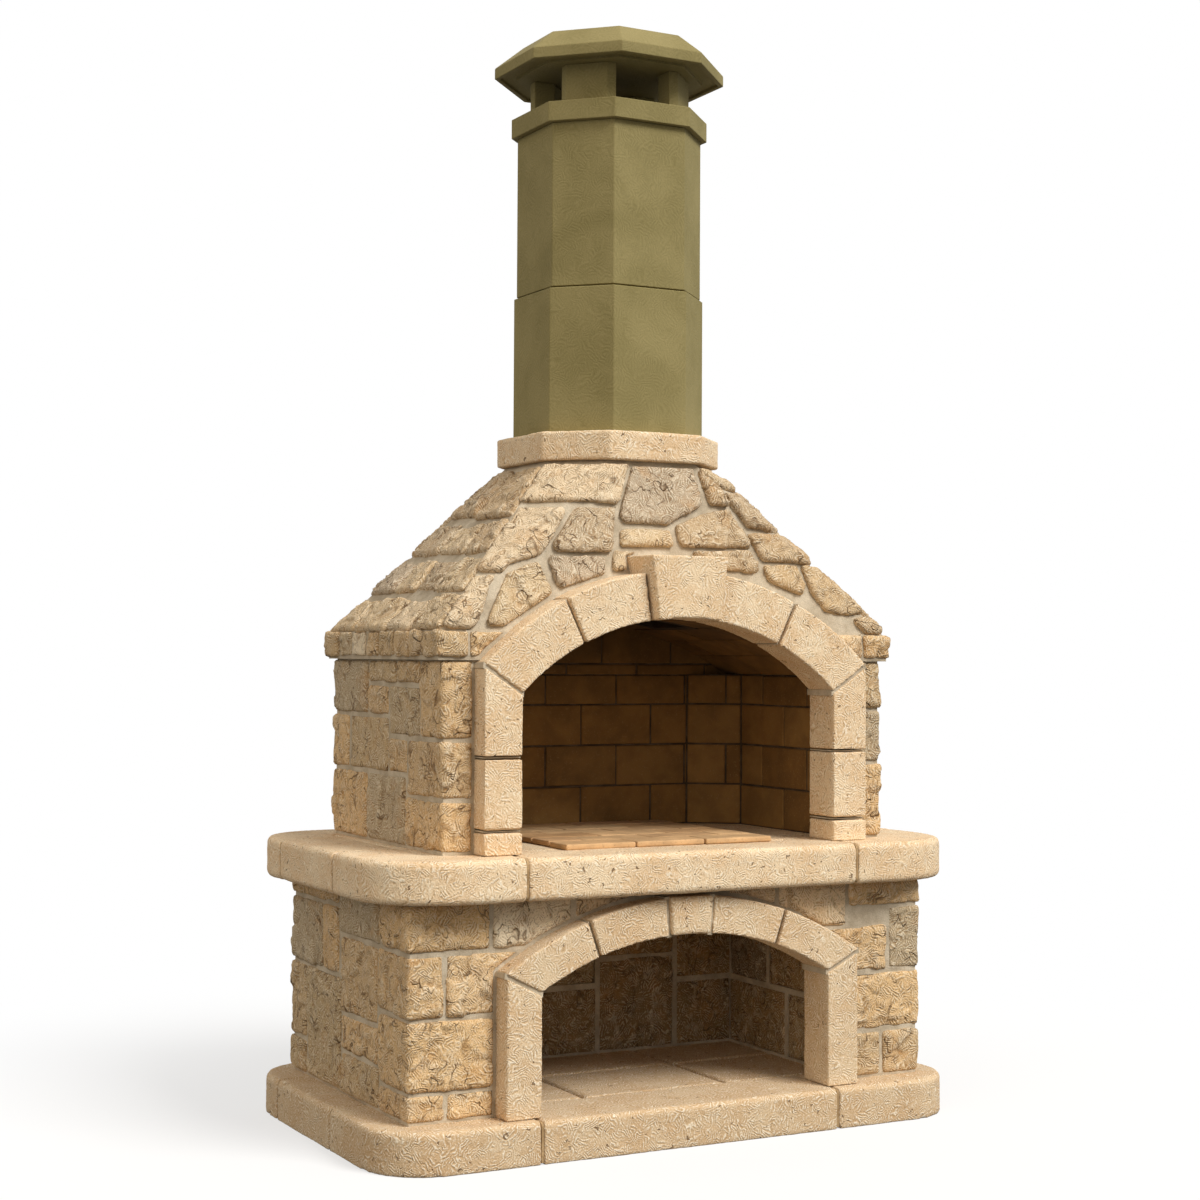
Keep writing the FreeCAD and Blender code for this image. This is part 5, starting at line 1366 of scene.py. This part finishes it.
@dataclass
class Studio:
    """Floor, light and camera. Angles are in degrees."""

    camera_place: tuple[float, float, float] = (-2685.6, -5012.6, 1222.0)
    camera_pitch: float = 1.467
    camera_roll: float = -0.3
    camera_yaw: float = -28.0
    lens: float = 63.1
    sensor: float = 36.0
    floor_half: float = 14.0    # metres
    floor_colour: str = "#EDEBE7"
    floor_bounce: str = "#5C5A56"
    floor_near: float = 1.0     # metres from the middle, where the floor starts to turn white
    floor_far: float = 2.6      # metres, where it is white
    floor_share: float = 0.62   # share of white nearer than that
    key_turn: tuple[float, float] = (46.0, 27.0)
    key_strength: float = 3.25
    key_softness: float = 28.0
    fill_turn: tuple[float, float] = (66.0, -64.0)
    fill_strength: float = 0.82
    fill_softness: float = 60.0
    fill_colour: str = "#FFF0DC"
    sky_strength: float = 0.46

    def lamp(self, name: str, tilt: float, turn: float, strength: float, softness: float,
             colour: str = "#FFFFFF") -> None:
        """Hangs one soft, even lamp.

        Args:
            name: Its name.
            tilt: Angle from straight above.
            turn: Angle round the object from the front, to the right.
            strength: Its strength.
            softness: Angle of its disc.
            colour: Its colour.
        """
        data = bpy.data.lights.new(name, "SUN")
        data.color = linear(colour)[:3]
        data.energy = strength
        data.angle = math.radians(softness)
        lamp = bpy.data.objects.new(name, data)
        lamp.rotation_euler = (math.radians(tilt), 0.0, math.radians(turn))
        bpy.context.scene.collection.objects.link(lamp)

    def seen(self, tree: bpy.types.NodeTree) -> Socket:
        """Tells looking from lighting.

        Args:
            tree: The node tree of the floor or the sky.

        Returns:
            1 where the camera looks, straight, in a reflection or through glass, and 0 for light.
        """
        share = add_node(tree, "LightPath", out="Is Camera Ray")
        ways = share.node.outputs
        for way in ("Is Glossy Ray", "Is Transmission Ray"):
            share = add_node(tree, "Math", {0: share, 1: ways[way]}, operation="MAXIMUM")
        return share

    def floor(self) -> None:
        """Lays a pale floor that shows the object's shadow and turns white further out."""
        half = self.floor_half
        corners = [(-half, -half, 0), (half, -half, 0), (half, half, 0), (-half, half, 0)]
        mesh = bpy.data.meshes.new("studio_floor")
        mesh.from_pydata(corners, [], [(0, 1, 2, 3)])
        floor = bpy.data.objects.new("studio_floor", mesh)
        bpy.context.scene.collection.objects.link(floor)
        material = bpy.data.materials.new("studio_paper")
        material.use_nodes = True
        tree = material.node_tree
        tree.nodes.clear()
        place = add_node(tree, "TexCoord", out="Object")
        away = add_node(tree, "VectorMath", {0: place}, "Value", operation="LENGTH")
        inputs = between(away, self.floor_near, self.floor_far, self.floor_share, 1.0)
        white = add_node(tree, "MapRange", inputs, **EASED)
        seen = self.seen(tree)
        share = add_node(tree, "Math", {0: white, 1: seen}, operation="MULTIPLY")
        inputs = {SHARE: seen, FIRST: linear(self.floor_bounce), SECOND: linear(self.floor_colour)}
        shade = add_node(tree, "Mix", inputs, MIXED, **COLOURS)
        paper = add_node(tree, "BsdfDiffuse", {"Color": shade})
        glow = add_node(tree, "Emission", {"Color": WHITE, "Strength": 1.0})
        both = add_node(tree, "MixShader", {0: share, 1: paper, 2: glow})
        add_node(tree, "OutputMaterial", {"Surface": both})
        mesh.materials.append(material)

    def sky(self) -> None:
        """Sets an even sky, which the camera sees as white."""
        world = bpy.data.worlds.new("studio_sky")
        world.use_nodes = True
        tree = world.node_tree
        tree.nodes.clear()
        seen = self.seen(tree)
        light = add_node(tree, "Background", {"Color": WHITE, "Strength": self.sky_strength})
        white = add_node(tree, "Background", {"Color": WHITE, "Strength": 1.0})
        both = add_node(tree, "MixShader", {0: seen, 1: light, 2: white})
        add_node(tree, "OutputWorld", {"Surface": both})
        bpy.context.scene.world = world

    def camera(self) -> None:
        """Sets the camera where the photograph was taken."""
        data = bpy.data.cameras.new("camera")
        data.lens = self.lens
        data.sensor_width = self.sensor
        camera = bpy.data.objects.new("camera", data)
        camera.location = Vector(self.camera_place) * MM
        turn = (90.0 + self.camera_pitch, self.camera_roll, self.camera_yaw)
        camera.rotation_euler = [math.radians(angle) for angle in turn]
        bpy.context.scene.collection.objects.link(camera)
        bpy.context.scene.camera = camera

    def build(self) -> None:
        """Builds the studio."""
        self.floor()
        self.sky()
        self.lamp("key", *self.key_turn, self.key_strength, self.key_softness)
        self.lamp("fill", *self.fill_turn, self.fill_strength, self.fill_softness, self.fill_colour)
        self.camera()
        bpy.context.scene.view_settings.view_transform = "Standard"


def main() -> None:
    """Builds every sub-assembly in order."""
    logging.basicConfig(level=logging.INFO, format="%(name)s %(message)s")
    banker = Banker(frame["nodes"])
    finishes = Finishes()
    # The numbers after the names are shares of painted shade on the dressed stones.
    RingCourse("plinth", 0.3).build(banker, finishes)
    LogStore().build(banker, finishes)
    RubbleWalls("lower", ("left", "right", "rear", "front")).build(banker, finishes)
    ArchedFront("lower", 0.19).build(banker, finishes)
    RingCourse("ledge", 0.0).build(banker, finishes)
    FireChamber().build(banker, finishes)
    RubbleWalls("upper", ("left", "right", "rear")).build(banker, finishes)
    ArchedFront("upper", 0.0).build(banker, finishes)
    Hood().build(banker, finishes)
    Chimney().build(banker, finishes)
    Backing().build(finishes)
    Studio().build()


if __name__ == "__main__":
    main()
